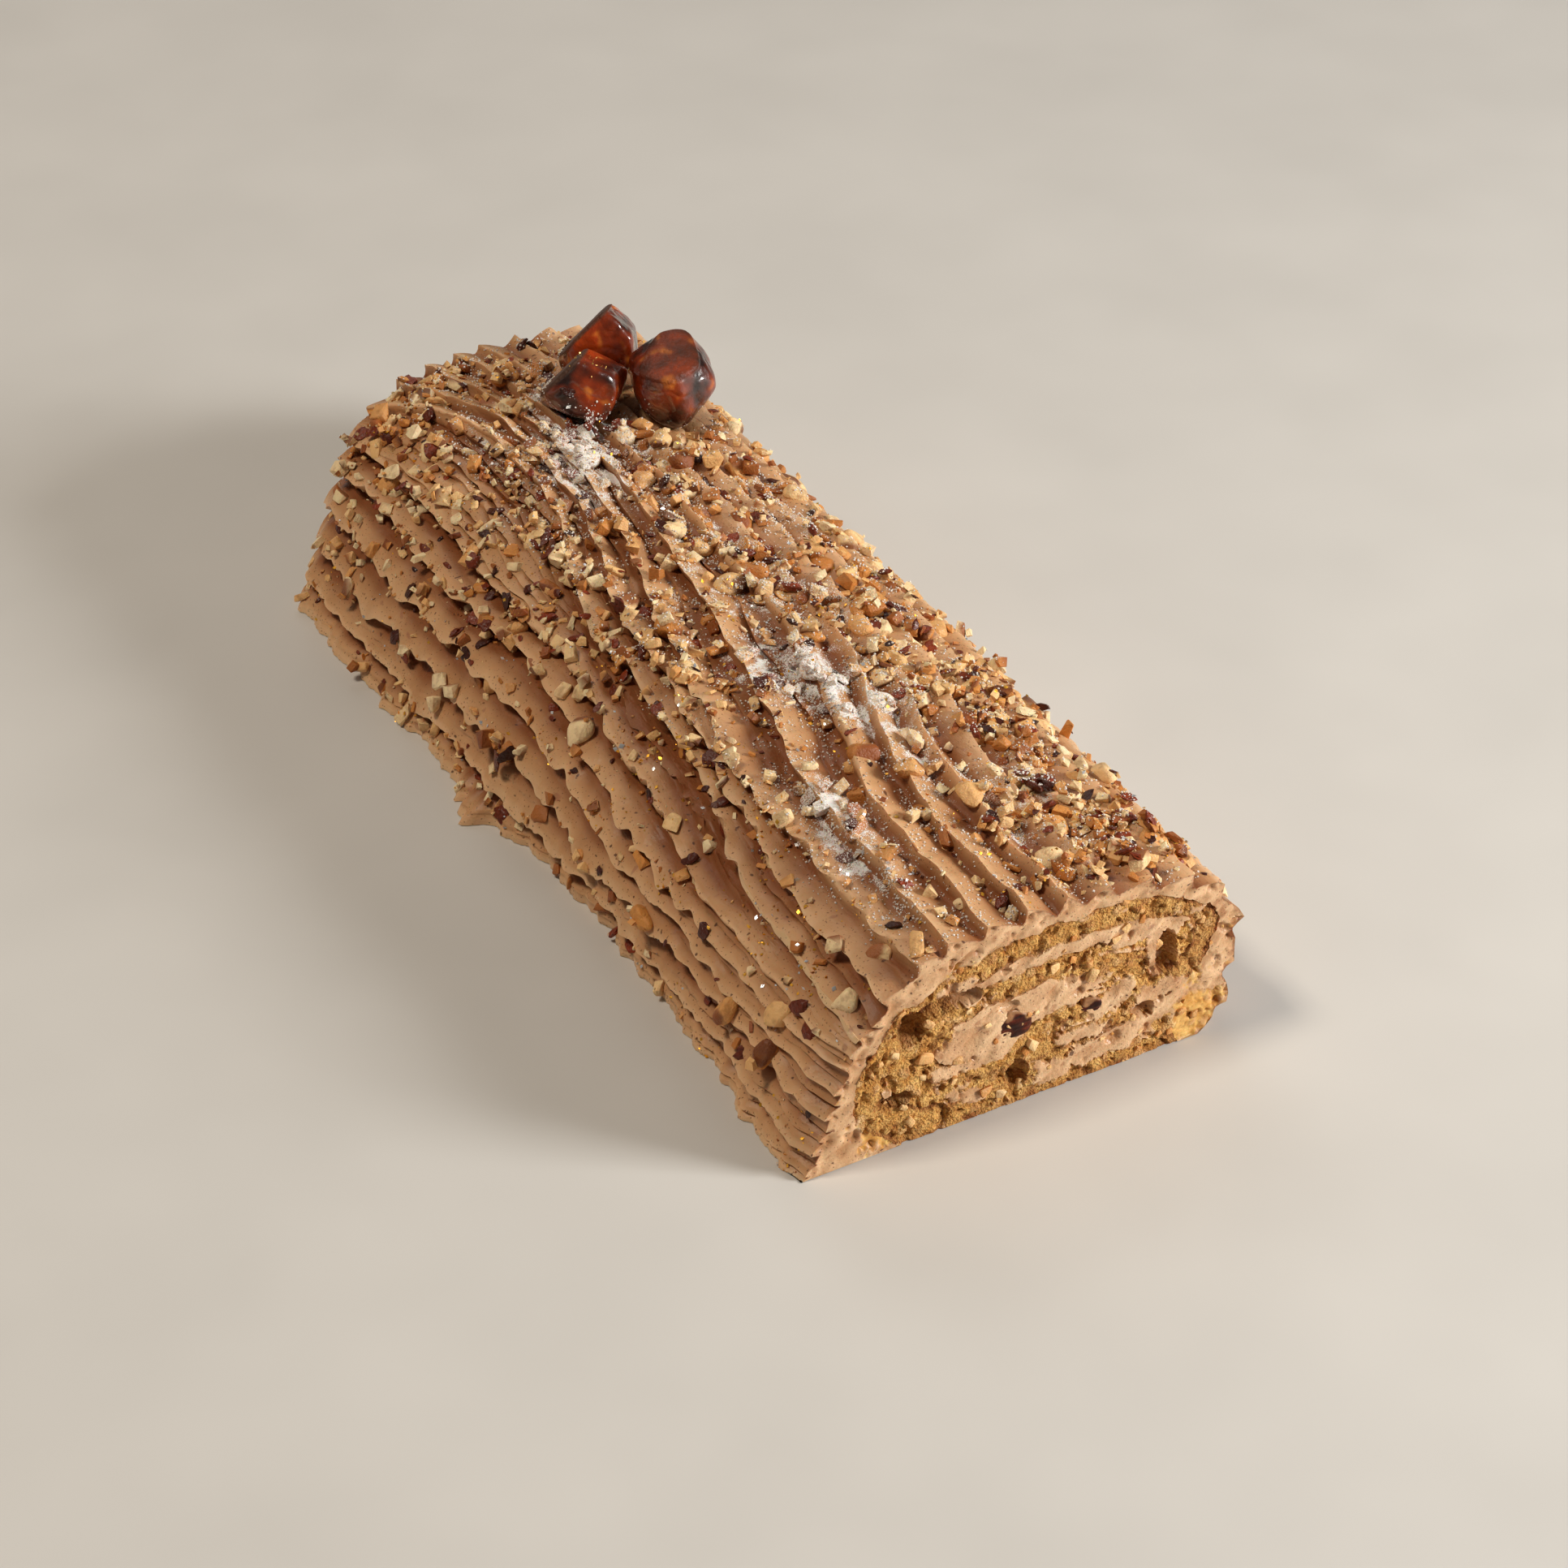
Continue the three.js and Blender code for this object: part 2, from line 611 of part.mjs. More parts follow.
// How thickly the nuts lie, from 0 to 1: sparse on the left side, thick over the right shoulder,
// round the chestnuts and at the far end.
function nutCover(along, wayRound) {
  const { bare, shoulder, underRight, farEnd, middle } = NUT_COVER;
  const wavy = wayRound + shoulder.wander * wander(along, 7, shoulder.wavelength);
  const onShoulder = shoulder.share * smoothstep(wavy, ...shoulder.wayRound);
  const notBelow = 1 - underRight.share * smoothstep(wayRound, ...underRight.wayRound);
  const atFarEnd =
    farEnd.share * smoothstep(along, ...farEnd.along) * smoothstep(wayRound, ...farEnd.wayRound);
  const inMiddle =
    middle.share * smoothstep(along, ...middle.along) * smoothstep(wayRound, ...middle.wayRound);
  return clamp(bare + onShoulder * notBelow + atFarEnd + inMiddle, 0, 1);
}

function scatterNuts() {
  const random = seededRandom(NUT_SEED);
  const nuts = [];
  for (let draw = 0; draw < NUT_DRAWS; draw += 1) {
    const along = lerp(NUT_END_CLEAR, LOG_LENGTH - 2 * NUT_END_CLEAR, random());
    const ridge = lerp(0.9, RIDGES - 0.9, random());
    const size = lerp(NUT_SIZES[0], NUT_SIZES[1], random() ** 2);
    const turn = random() * 2 * Math.PI;
    const keep = random();
    const shape = Math.floor(random() * 1e6);
    if (keep > nutCover(along, strokeLine(along, ridge))) {
      continue;
    }
    const { x, z, normal } = icingPoint(along, ridge);
    const outward = new THREE.Vector3(normal.x, 0, normal.y);
    const place = new THREE.Vector3(x, alongAt(along / LOG_LENGTH, x, z), z);
    place.addScaledVector(outward, NUT_SUNK * size);
    const crowded = nuts.some(
      (nut) => nut.place.distanceTo(place) < (NUT_SPACING * (nut.size + size)) / 2,
    );
    const onChestnut = GLAZED_CHESTNUTS.some(
      (chestnut) => place.distanceTo(new THREE.Vector3(...chestnut.place)) < CHESTNUT_CLEAR + size / 2,
    );
    if (!crowded && !onChestnut) {
      nuts.push({ place, outward, size, turn, shape });
    }
  }
  return nuts.sort((a, b) => b.size - a.size).slice(0, NUT_LIMIT);
}

function nutGeometry(nut) {
  const random = seededRandom(nut.shape);
  const faces = [];
  for (let i = 0; i < NUT_FACES; i += 1) {
    const height = lerp(-1, 1, (i + random()) / NUT_FACES);
    const round = random() * 2 * Math.PI;
    const radius = Math.sqrt(1 - height * height);
    const distance = lerp(0.72, 1, random());
    faces.push([radius * Math.cos(round), radius * Math.sin(round), height, distance]);
  }
  const geometry = lumpGeometry(faces, NUT_SOFTNESS, 0);
  const half = nut.size / 2;
  geometry.scale(half, half * lerp(0.65, 0.95, random()), half * NUT_FLATNESS);
  geometry.rotateZ(nut.turn);
  const up = new THREE.Vector3(0, 0, 1);
  geometry.applyQuaternion(new THREE.Quaternion().setFromUnitVectors(up, nut.outward));
  geometry.translate(nut.place.x, nut.place.y, nut.place.z);
  return geometry;
}

// ---------------------------------------------------------------- the pieces

function makeIcing() {
  const pastEnds = 20;
  const tunnel = prismAlongLog(rollOutline(), -pastEnds, false, LOG_LENGTH + 2 * pastEnds);
  let icing = solidOf(icingBlock()).subtract(solidOf(tunnel));
  scatterNuts().forEach((nut) => {
    icing = icing.add(solidOf(nutGeometry(nut)));
  });
  GLAZED_CHESTNUTS.forEach((chestnut) => {
    icing = icing.subtract(solidOf(chestnutGeometry(chestnut, KNIFE_GAP)));
  });
  return geometryOf(largestBody(withoutHollows(icing)));
}

function withoutHollows(solid) {
  let torn = solid;
  FRONT_HOLLOWS.forEach((hollow) => {
    torn = torn.subtract(solidOf(hollowGeometry(hollow, false)));
  });
  FAR_HOLLOWS.forEach((hollow) => {
    torn = torn.subtract(solidOf(hollowGeometry(hollow, true)));
  });
  return torn;
}

function makeRolled(outline) {
  let rolled = withoutHollows(solidOf(prismAlongLog(outline, 0, true)));
  CHUNKS_IN_FILLING.forEach((chunk) => {
    rolled = rolled.subtract(solidOf(chunkGeometry(chunk, KNIFE_GAP)));
  });
  return geometryOf(largestBody(rolled));
}

function piece(name, geometry, colour, roughness) {
  const material = new THREE.MeshStandardMaterial({ color: colour, roughness, metalness: 0 });
  const mesh = new THREE.Mesh(geometry, material);
  mesh.name = name;
  return mesh;
}

const log = new THREE.Group();
log.position.copy(LOG_MIDDLE).negate();

log.add(piece('icing', makeIcing(), 0xc79a70, 0.55));
log.add(piece('sponge', makeRolled(spongeOutline()), 0xc9974f, 0.9));
log.add(piece('filling', makeRolled(fillingOutline()), 0xd9b394, 0.5));
GLAZED_CHESTNUTS.forEach((chestnut) => {
  log.add(piece(chestnut.name, chestnutGeometry(chestnut), 0x7a3414, 0.15));
});
CHUNKS_IN_FILLING.forEach((chunk) => {
  log.add(piece(chunk.name, chunkGeometry(chunk), 0x3a1c12, 0.25));
});

const cake = new THREE.Group();
cake.add(log);

export default cake;
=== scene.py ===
# A yule log cake: rolled nut sponge and buttercream, cut at both ends, iced with a palette knife,
# strewn with chopped roasted nuts and topped with three pieces of glazed chestnut.

import itertools

import bmesh
import bpy
import numpy as np
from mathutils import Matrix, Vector, geometry
from mathutils.bvhtree import BVHTree
from mathutils.kdtree import KDTree


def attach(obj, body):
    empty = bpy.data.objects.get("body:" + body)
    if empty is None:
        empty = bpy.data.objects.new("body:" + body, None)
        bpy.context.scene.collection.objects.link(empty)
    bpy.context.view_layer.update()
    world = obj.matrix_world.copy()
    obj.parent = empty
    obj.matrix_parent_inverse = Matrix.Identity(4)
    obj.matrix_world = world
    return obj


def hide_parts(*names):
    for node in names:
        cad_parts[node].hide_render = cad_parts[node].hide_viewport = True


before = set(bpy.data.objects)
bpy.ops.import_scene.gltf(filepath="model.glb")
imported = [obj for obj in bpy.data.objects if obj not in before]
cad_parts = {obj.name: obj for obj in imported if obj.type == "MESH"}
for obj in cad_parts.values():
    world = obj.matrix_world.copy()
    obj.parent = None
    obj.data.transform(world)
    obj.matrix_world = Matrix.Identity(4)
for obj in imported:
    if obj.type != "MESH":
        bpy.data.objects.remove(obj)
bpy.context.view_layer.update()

# ---------------------------------------------------------------- rolled sponge
# One sheet of nut sponge, 5 to 8 mm thick, baked flat and rolled up two turns round its cream.
# Both ends are cut off with a serrated knife, so the golden crumb shows, torn into hollows.
# Sizes are in millimetres: x runs across the log, y along it from the front cut, z up.

LOG_MIDDLE = np.array([50.0, 138.0, 0.0])
FAR_CUT, FAR_CUT_PER_X, FAR_CUT_PER_Z = 268, 0.09, 0.08
ROLL_BOTTOMS, ROLL_LEFTS = [3.2, 12.6, 19.6], [13.5, 25, 36]
ROLL_TOPS, ROLL_RIGHTS = [43.6, 34.4, 26], [95.5, 84, 73]
ROLL_SQUARENESS, FIRST_CORNER_SQUARENESS = 2.3, 3.2
ROLL_LEAN, ROLL_MIDDLE_HEIGHT = 0.42, 23
TAIL_TURN, TAIL_X, INNER_TURN, UNDERSIDE_TURN = -0.16, 92, 1.985, 0.08
SEAL_TURN = 0.8331
SPONGE_THICKNESS = [
    [-0.16, -0.05, 0.05, 0.16, 0.3, 0.55, 0.95, 1.5, 1.97],
    [4.6, 4.8, 7.2, 8.6, 6.6, 6.2, 5.6, 6, 4.8],
]
# Hollows torn by the knife: x, z, half sizes across and up, depth.
FRONT_HOLLOWS = [
    [22, 31.8, 3.8, 4.4, 4],
    [31.5, 35.2, 8.4, 2.3, 3.2],
    [17.6, 13.2, 4.6, 1.9, 3.4],
    [49.5, 7.8, 2.9, 3.7, 3.4],
    [88, 27.5, 2.7, 6, 3.6],
    [82.5, 13.3, 2.8, 1.9, 3],
    [29, 11.6, 1.8, 1.1, 1.8],
    [46.5, 28.6, 2.6, 1.2, 1.3],
    [69, 36, 2.2, 0.8, 1.3],
    [45.5, 38.8, 1.3, 0.8, 1.3],
    [66.4, 21.8, 2.2, 1.2, 1.6],
]
FAR_HOLLOWS = [
    [31, 35, 5, 3, 3],
    [82, 17, 4, 2.2, 3],
    [60, 8, 2, 1.2, 1.6],
    [44, 26, 1.8, 1.4, 1.4],
]
# Drags of the knife over each cut: from x, z to x, z, half width, and 1 for cream or 0 for crumb.
FRONT_DRAGS = [
    [18, 25, 24, 10, 4.4, 0],
    [14, 7, 46, 6.5, 5, 0],
    [25, 27, 33, 25, 2.6, 0],
    [60, 33.5, 84, 27, 2.8, 0],
    [76, 25, 86, 20, 4.4, 0],
    [91, 30, 95, 18, 3.6, 0],
    [51, 15, 63, 12, 3.6, 0],
    [54, 19.4, 66, 18.6, 2.4, 0],
    [88, 3, 101, 6, 4.6, 0],
    [94, 10, 101, 9, 2.6, 0],
    [29, 38.6, 37, 39.4, 1.2, 1],
    [34, 34.6, 38.5, 34, 1.7, 1],
    [43, 37.6, 60, 39.3, 1.5, 1],
    [60, 39.3, 72, 37.4, 1.3, 1],
    [75, 35.4, 83, 36.4, 2.1, 1],
    [70, 34, 83, 30.6, 0.5, 1],
    [84.5, 33, 85.5, 23, 2.0, 1],
    [35, 24.5, 42, 25.4, 4.0, 1],
    [47, 28, 51, 28.5, 1.6, 1],
    [55, 26.6, 63, 26, 3.9, 1],
    [71, 18, 76.5, 21, 3.2, 1],
    [29, 15.6, 45, 15.4, 1.6, 1],
    [33, 8.4, 39, 6, 1.8, 1],
    [53, 5.6, 82, 7.6, 3.2, 1],
    [61, 12.6, 72, 12.2, 2.0, 1],
    [83, 17, 92, 17.4, 2.3, 1],
    [57, 10.4, 62, 9, 1.6, 0],
    [20, 30.5, 27, 33, 4.8, 0],
    [47.5, 9, 51, 6, 3.6, 0],
]
FAR_DRAGS = [
    [16, 20, 24, 8, 4, 0],
    [60, 33, 84, 28, 2.6, 0],
    [40, 7, 56, 7, 3.4, 0],
    [50, 16, 62, 14, 2.6, 0],
    [38, 24, 48, 26, 3.4, 1],
    [62, 24, 70, 22, 3.4, 1],
    [40, 38.5, 66, 39, 1.5, 1],
    [30, 16, 44, 16, 1.5, 1],
    [62, 7, 84, 8, 3, 1],
]
# Specks of ground nut in the cream: size, reach in a cell, cells left out, colour, strength.
SPECKS = [
    [1.7, 0.17, 0.40, (0.10, 0.035, 0.015, 1), 0.8],
    [3.4, 0.15, 0.55, (0.07, 0.02, 0.01, 1), 0.85],
    [0.9, 0.24, 0.35, (0.22, 0.09, 0.035, 1), 0.8],
    [6.5, 0.17, 0.60, (0.34, 0.13, 0.08, 1), 0.5],
]
CUT_GRAIN, ROW_GAP = 0.4, 0.87  # how far apart a cut face's points lie, and its rows of points
# How deep the knife leaves pores, cracks, pits, ledges and torn cream.
PORE_DEPTH, CRACK_DEPTH, PIT_DEPTH, LEDGE_DEPTH, TORN_DEPTH = 0.9, 0.3, 0.3, 0.9, 0.9
SPONGE_PALE, SPONGE_GOLD, SPONGE_BAKED = (244, 198, 120), (208, 146, 64), (150, 80, 30)
SAWN_NUT_PALE, SAWN_NUT_GOLD = (236, 192, 130), (196, 134, 72)
CREAM_LIGHT, CREAM_DEEP, CREAM_TOASTED = (215, 169, 124), (188, 137, 92), (160, 98, 56)
# The cream's colour in painted shade, for the icing's furrows, and its palest tone, which also
# serves as painted highlight; then how much painted shade darkens the hollows and the pores.
CREAM_IN_SHADE, CREAM_PALE_HIGHLIGHT = (122, 58, 20), (240, 200, 156)
HOLLOW_SHADE, PORE_SHADE = np.array([0.62, 0.5, 0.4]), np.array([0.32, 0.42, 0.54])
NUT_CELL, NUTS_KEPT = 4.4, (-0.02, 0.04)
WELL_INSIDE = 9.0  # so far from its edge, a point counts as well inside its layer
BAKED_EDGE, TOASTED_HEIGHTS = (0.2, 1.5), (6, 18)  # the sheet's brown skin; its toasted low part
POINT_WOBBLE, CLEAR_OF_RIM = 0.22, 0.6  # in gaps between points, so that no two lie too close
CREAM_PULL = np.array([[0.28, 0, -0.57], [0, 1, 0], [0.2, 0, 0.82]])  # the knife's slanted drag


def lerp(start, end, share):
    return start + (end - start) * share


def smoothstep(value, start, end):
    share = np.clip((value - start) / (end - start), 0, 1)
    return share * share * (3 - 2 * share)


def smooth_through(places, values):
    """A smooth curve through stations; the places rise, and past either end the value stays."""
    places, values = np.array(places, float), np.array(values, float)
    before = np.maximum(np.arange(len(places)) - 1, 0)
    after = np.minimum(np.arange(len(places)) + 1, len(places) - 1)
    slopes = ((values[after] - values[before]).T / (places[after] - places[before])).T

    def curve(place):
        inside = np.clip(place, places[0], places[-1])
        end = np.clip(np.searchsorted(places, inside), 1, len(places) - 1)
        start = end - 1
        span = places[end] - places[start]
        t = (inside - places[start]) / span
        if values.ndim > 1:
            span, t = span[..., None], t[..., None]
        bend = slopes[start] * t * (1 - t) ** 2 - slopes[end] * t * t * (1 - t)
        return lerp(values[start], values[end], t * t * (3 - 2 * t)) + span * bend

    return curve


def wander(place, seed, wavelength):
    """Slow wandering between -1 and 1, different for each seed."""
    turn = 2 * np.pi * place / wavelength
    first = np.sin(turn + 1.7 * seed) + 0.6 * np.sin(2.3 * turn + 4.1 * seed)
    return (first + 0.35 * np.sin(4.7 * turn + 2.9 * seed)) / 1.95


dice = np.random.default_rng(12)
MOTTLE_WAYS = dice.normal(size=(256, 3))
MOTTLE_WAYS /= np.linalg.norm(MOTTLE_WAYS, axis=1)[:, None]


def cell_key(first, second, third):
    """A scrambled number from 0 to 255 for each cell of a grid."""
    key = (first * 73856093) ^ (second * 19349663) ^ (third * 83492791)
    return ((key * 2654435761) >> 16) & 255


def mottle(points, size, seed=0):
    """Smooth uneven lumps of about one size, between -1 and 1."""
    place = np.asarray(points, float) / size + 31.7 * seed
    cell = np.floor(place).astype(np.int64)
    inside = place - cell
    fade = inside**3 * (inside * (6 * inside - 15) + 10)
    total = np.zeros(len(place))
    for corner in itertools.product((0, 1), repeat=3):
        way = MOTTLE_WAYS[cell_key(*(cell + corner).T)]
        weight = np.prod(np.where(corner, fade, 1 - fade), axis=1)
        total += weight * ((inside - corner) * way).sum(axis=1)
    return np.clip(1.6 * total, -1, 1)


def far_cut_at(x, z):
    return FAR_CUT + FAR_CUT_PER_X * x + FAR_CUT_PER_Z * z


def along_turns(values, turn):
    start = np.clip(np.floor(turn), 0, len(values) - 2).astype(int)
    values = np.array(values, float)
    return lerp(values[start], values[start + 1], turn - start)


def roll_middle(turn):
    """Middle line of the sponge, wound from the middle of the underside over left and top."""
    wound = np.maximum(turn, 0)
    left, right = along_turns(ROLL_LEFTS, wound - 0.25), along_turns(ROLL_RIGHTS, wound - 0.75)
    bottom, top = along_turns(ROLL_BOTTOMS, wound), along_turns(ROLL_TOPS, wound - 0.5)
    angle = -np.pi / 2 - 2 * np.pi * wound
    power = 2 / np.where(wound < 0.25, FIRST_CORNER_SQUARENESS, ROLL_SQUARENESS)
    across = np.sign(np.cos(angle)) * np.abs(np.cos(angle)) ** power
    up = np.sign(np.sin(angle)) * np.abs(np.sin(angle)) ** power
    z = (bottom + top) / 2 + (top - bottom) / 2 * up
    x = (left + right) / 2 + (right - left) / 2 * across + ROLL_LEAN * (z - ROLL_MIDDLE_HEIGHT)
    return np.column_stack([lerp(x, TAIL_X, np.maximum(turn / TAIL_TURN, 0)), z])


def sponge_face(turn, side):
    """The outside (side 1) or the inside (side -1) of the rolled sheet."""
    step = 0.004
    ahead = roll_middle(turn + step) - roll_middle(turn - step)
    ahead /= np.linalg.norm(ahead, axis=1)[:, None]
    outward = np.column_stack([-ahead[:, 1], ahead[:, 0]]) * side
    reach = smooth_through(*SPONGE_THICKNESS)(turn) / 2
    reach += 0.35 * wander(turn + side, 3 + side, 0.21)
    return roll_middle(turn) + outward * reach[:, None]


stations = np.linspace(TAIL_TURN, INNER_TURN, 55)
outer_stations, inner_stations = sponge_face(stations, 1), sponge_face(stations, -1)
on_plate = (stations < UNDERSIDE_TURN) | (outer_stations[:, 1] < 0)
outer_stations[on_plate, 1] = 0
roll_turns = np.linspace(TAIL_TURN, INNER_TURN, 860)
outer_face = np.maximum(smooth_through(stations, outer_stations)(roll_turns), [-99, 0])
outer_face[roll_turns <= stations[on_plate].max(), 1] = 0
inner_face = smooth_through(stations, inner_stations)(roll_turns)


def between(start, end, step=0.5):
    """Points of a straight edge, without its two ends."""
    count = int(np.linalg.norm(end - start) / step)
    return lerp(start, end, np.linspace(0, 1, count + 2)[1:-1, None])


def is_inside(points, outline):
    inside = np.zeros(len(points), bool)
    x, z = points.T
    for (x1, z1), (x2, z2) in zip(outline, np.roll(outline, -1, axis=0)):
        if z1 != z2:
            crosses = (z1 > z) != (z2 > z)
            inside ^= crosses & (x < x1 + (z - z1) * (x2 - x1) / (z2 - z1))
    return inside


def distance_from(points, outline):
    tree = KDTree(len(outline))
    for i, (x, z) in enumerate(outline):
        tree.insert((x, z, 0), i)
    tree.balance()
    return np.array([tree.find((x, z, 0))[2] for x, z in points])


def cut_face(outline, spacing=CUT_GRAIN):
    """Triangles over a section of the log, and where the outline's own points are in them."""
    low, high = outline.min(axis=0), outline.max(axis=0)
    rows = np.arange(low[1], high[1], spacing * ROW_GAP)
    x, z = np.meshgrid(np.arange(low[0], high[0], spacing), rows)
    x[::2] += spacing / 2
    grid = np.column_stack([x.ravel(), z.ravel()])
    grid += dice.uniform(-POINT_WOBBLE, POINT_WOBBLE, grid.shape) * spacing
    grid = grid[is_inside(grid, outline)]
    grid = grid[distance_from(grid, outline) > CLEAR_OF_RIM * spacing]
    flat = [Vector(p) for p in np.vstack([outline, grid]).tolist()]
    loop = [(i, (i + 1) % len(outline)) for i in range(len(outline))]
    corners, _, faces, sources, _, _ = geometry.delaunay_2d_cdt(flat, loop, [], 0, 1e-6)
    corners = np.array(corners)
    faces = np.array([face for face in faces if len(face) == 3])
    faces = faces[is_inside(corners[faces].mean(axis=1), outline)]
    first, second, third = (corners[faces[:, i]] for i in range(3))
    ahead, aside = (second - first).T, (third - first).T
    turned = ahead[0] * aside[1] < ahead[1] * aside[0]
    faces[turned] = faces[turned][:, ::-1]
    place = {source: i for i, found in enumerate(sources) for source in found}
    return corners, faces, np.array([place[i] for i in range(len(outline))])


def on_cut(flat, is_far):
    """Where a section's points are for the noise, which differs between the two cuts."""
    return np.column_stack([flat[:, 0], np.full(len(flat), 700.0 * is_far), flat[:, 1]])


def kneaded(flat, is_far, share=1.0):
    """Moves a section's points a little, so that the layers meet in uneven lines."""
    place = on_cut(flat, is_far)
    coarse = np.column_stack([mottle(place, 7, 1), mottle(place, 7, 2)])
    fine = np.column_stack([mottle(place, 1.7, 3), mottle(place, 1.7, 4)])
    moved = (1.35 * coarse + 0.6 * fine) * np.reshape(share, (-1, 1))
    moved[:, 1] *= smoothstep(flat[:, 1], 0, 2.5)
    return np.maximum(flat + moved, [-99, 0])


def hollow_depth(flat, is_far):
    """How deep the knife tore the cut face, over its hollows."""
    place = on_cut(flat, is_far)
    ragged = 0.22 * mottle(place, 2.6, 5) + 0.12 * mottle(place, 0.9, 6)
    depth = np.zeros(len(flat))
    for x, z, half_x, half_z, deepest in FAR_HOLLOWS if is_far else FRONT_HOLLOWS:
        off = (np.abs(flat[:, 0] - x) / half_x) ** 2.6 + (np.abs(flat[:, 1] - z) / half_z) ** 2.6
        inside = np.clip(1.06 - off - ragged, 0, 1)
        depth = np.maximum(depth, deepest * inside**0.4)
    return depth


def creaminess(flat, is_far, own):
    """Cream, 1, or crumb, 0, as the knife left it on a layer that is itself own."""
    place = on_cut(flat, is_far)
    ragged = 0.55 * mottle(place, 3.4, 19) + 0.45 * mottle(place, 1.2, 20)
    stray = mottle(place * [0.6, 1, 1], 4.4, 23) + 0.5 * mottle(place, 1.3, 24)
    share = lerp(own, 1 - own, smoothstep(stray, 0.62, 0.7))
    for x1, z1, x2, z2, half_width, cream in FAR_DRAGS if is_far else FRONT_DRAGS:
        drag = np.array([x2 - x1, z2 - z1])
        at = np.clip((flat - [x1, z1]) @ drag / (drag @ drag), 0, 1)
        off = np.linalg.norm(flat - [x1, z1] - at[:, None] * drag, axis=1) / half_width
        share = lerp(share, cream, smoothstep(1 - off + ragged, -0.06, 0.06))
    return share


def near_grains(flat, size, seed):
    """How far the nearest grain's middle is, and how much further the next one's, in grains."""
    place = flat / size + 17.3 * seed
    cell = np.floor(place).astype(np.int64)
    found = []
    for step in itertools.product((-1, 0, 1), repeat=2):
        at = cell + step
        off_middle = 0.42 * MOTTLE_WAYS[cell_key(*at.T, seed)][:, :2]
        found.append(np.linalg.norm(place - at - 0.5 - off_middle, axis=1))
    found = np.sort(found, axis=0)
    return found[0], found[1] - found[0]


def sawn(face, edge, is_far, own):
    """How far a cut layer lies back, its colour and its creaminess; own is 1 for cream."""
    place = on_cut(face, is_far)
    cream = creaminess(face, is_far, own)
    bent = face + 0.5 * np.column_stack([mottle(place, 1.9, 8), mottle(place, 1.9, 9)])
    near, apart = near_grains(bent, 1.1, 3 + is_far)
    level = 0.4 + 0.45 * mottle(place, 8, 7) + 0.16 * mottle(place, 2.6, 28)
    pores = smoothstep(-mottle(place, 2.3, 10), 0.3, 0.6)
    cracks = (1 - smoothstep(apart, 0, 0.3)) * smoothstep(mottle(place, 3.4, 11), 0.0, 0.5)
    pits = smoothstep(-mottle(place, 1.0, 12), 0.25, 0.6)
    ledges = smoothstep(mottle(place, 4.8, 33) + 0.3 * mottle(place, 1.5, 34), 0.2, 0.42)
    crumb_back = level + 0.14 * near**2 + PORE_DEPTH * pores + CRACK_DEPTH * cracks
    crumb_back = crumb_back + PIT_DEPTH * pits + LEDGE_DEPTH * ledges
    nut_near, _ = near_grains(face + 0.8 * (bent - face), NUT_CELL, 9 + is_far)
    size = 0.3 + 0.1 * mottle(place, 6, 27)
    nut = smoothstep(size - nut_near, 0, 0.05) * smoothstep(mottle(place, 5, 26), *NUTS_KEPT)
    nut *= 1 - 0.7 * cream
    crumb_back = lerp(crumb_back, level - 0.15 + 1.2 * nut_near**2, nut)
    pulled = place @ CREAM_PULL
    drawn = 0.62 * mottle(pulled, 3.4, 13) + 0.34 * mottle(pulled, 1.3, 14)
    torn = smoothstep(-mottle(place, 3.1, 15), 0.38, 0.62)
    cream_back = level - 0.2 + drawn + TORN_DEPTH * torn
    deep = hollow_depth(face, is_far)
    back = np.maximum(lerp(crumb_back, cream_back, cream), 0.02) * smoothstep(face[:, 1], -1.5, 1.5)
    paler = 0.5 + 0.75 * mottle(place, 2.2, 16) + 0.3 * mottle(place, 9, 22)
    crumb = shade(SPONGE_GOLD, SPONGE_PALE, paler)
    uneven = 0.6 + 0.6 * mottle(place, 5, 17)
    baked = (1 - smoothstep(edge, *BAKED_EDGE)) * uneven * (1 - own)
    toasted = smoothstep(mottle(place, 5, 37), 0.05, 0.5)
    toasted = toasted * (1 - smoothstep(face[:, 1], *TOASTED_HEIGHTS))
    baked += (0.4 * smoothstep(face[:, 0], TAIL_X - 6, TAIL_X + 3) + 0.5 * toasted) * (1 - own)
    crumb = lerp(crumb, srgb(SPONGE_BAKED), np.clip(baked, 0, 0.85)[:, None])
    # Painted shade: pores, cracks, pits, ledges and the crease round each nut are darker, as shade
    # falls in them.
    around = smoothstep(size + 0.09 - nut_near, 0, 0.06) * (1 - nut)
    dark = np.clip(0.75 * pores + 0.5 * cracks + 0.45 * pits + 0.5 * ledges + 0.5 * around, 0, 1.1)
    crumb = crumb * (1 - dark[:, None] * PORE_SHADE)
    paler = 0.5 + 1.2 * mottle(place, 5.5, 29) + 0.3 * mottle(place, 1.2, 30)
    crumb = lerp(crumb, shade(SAWN_NUT_GOLD, SAWN_NUT_PALE, paler), nut[:, None])
    # Painted shade darkens the cream where the knife tore it or drew it further back, and painted
    # highlight lightens it where it stands out.
    paler = 0.5 + 0.35 * mottle(place, 3.5, 18) - 0.6 * torn - 0.75 * drawn
    creamy = shade(CREAM_DEEP, CREAM_PALE_HIGHLIGHT, paler)
    nutty = smoothstep(mottle(place, 2.1, 21), 0.45, 0.6)
    creamy = lerp(creamy, srgb(CREAM_TOASTED), 0.55 * nutty[:, None])
    colour = lerp(crumb, creamy, cream[:, None])
    # Painted shade in the torn hollows: the deeper the hollow, the darker the colour.
    colour = colour * lerp(np.ones(3), HOLLOW_SHADE, smoothstep(deep, 0.3, 2.5)[:, None])
    return back + deep, colour, cream


def srgb(colour):
    value = np.asarray(colour, float) / 255
    return np.where(value < 0.04045, value / 12.92, ((value + 0.055) / 1.055) ** 2.4)


def shade(first, second, share):
    return lerp(srgb(first), srgb(second), np.clip(share, 0, 1)[:, None])


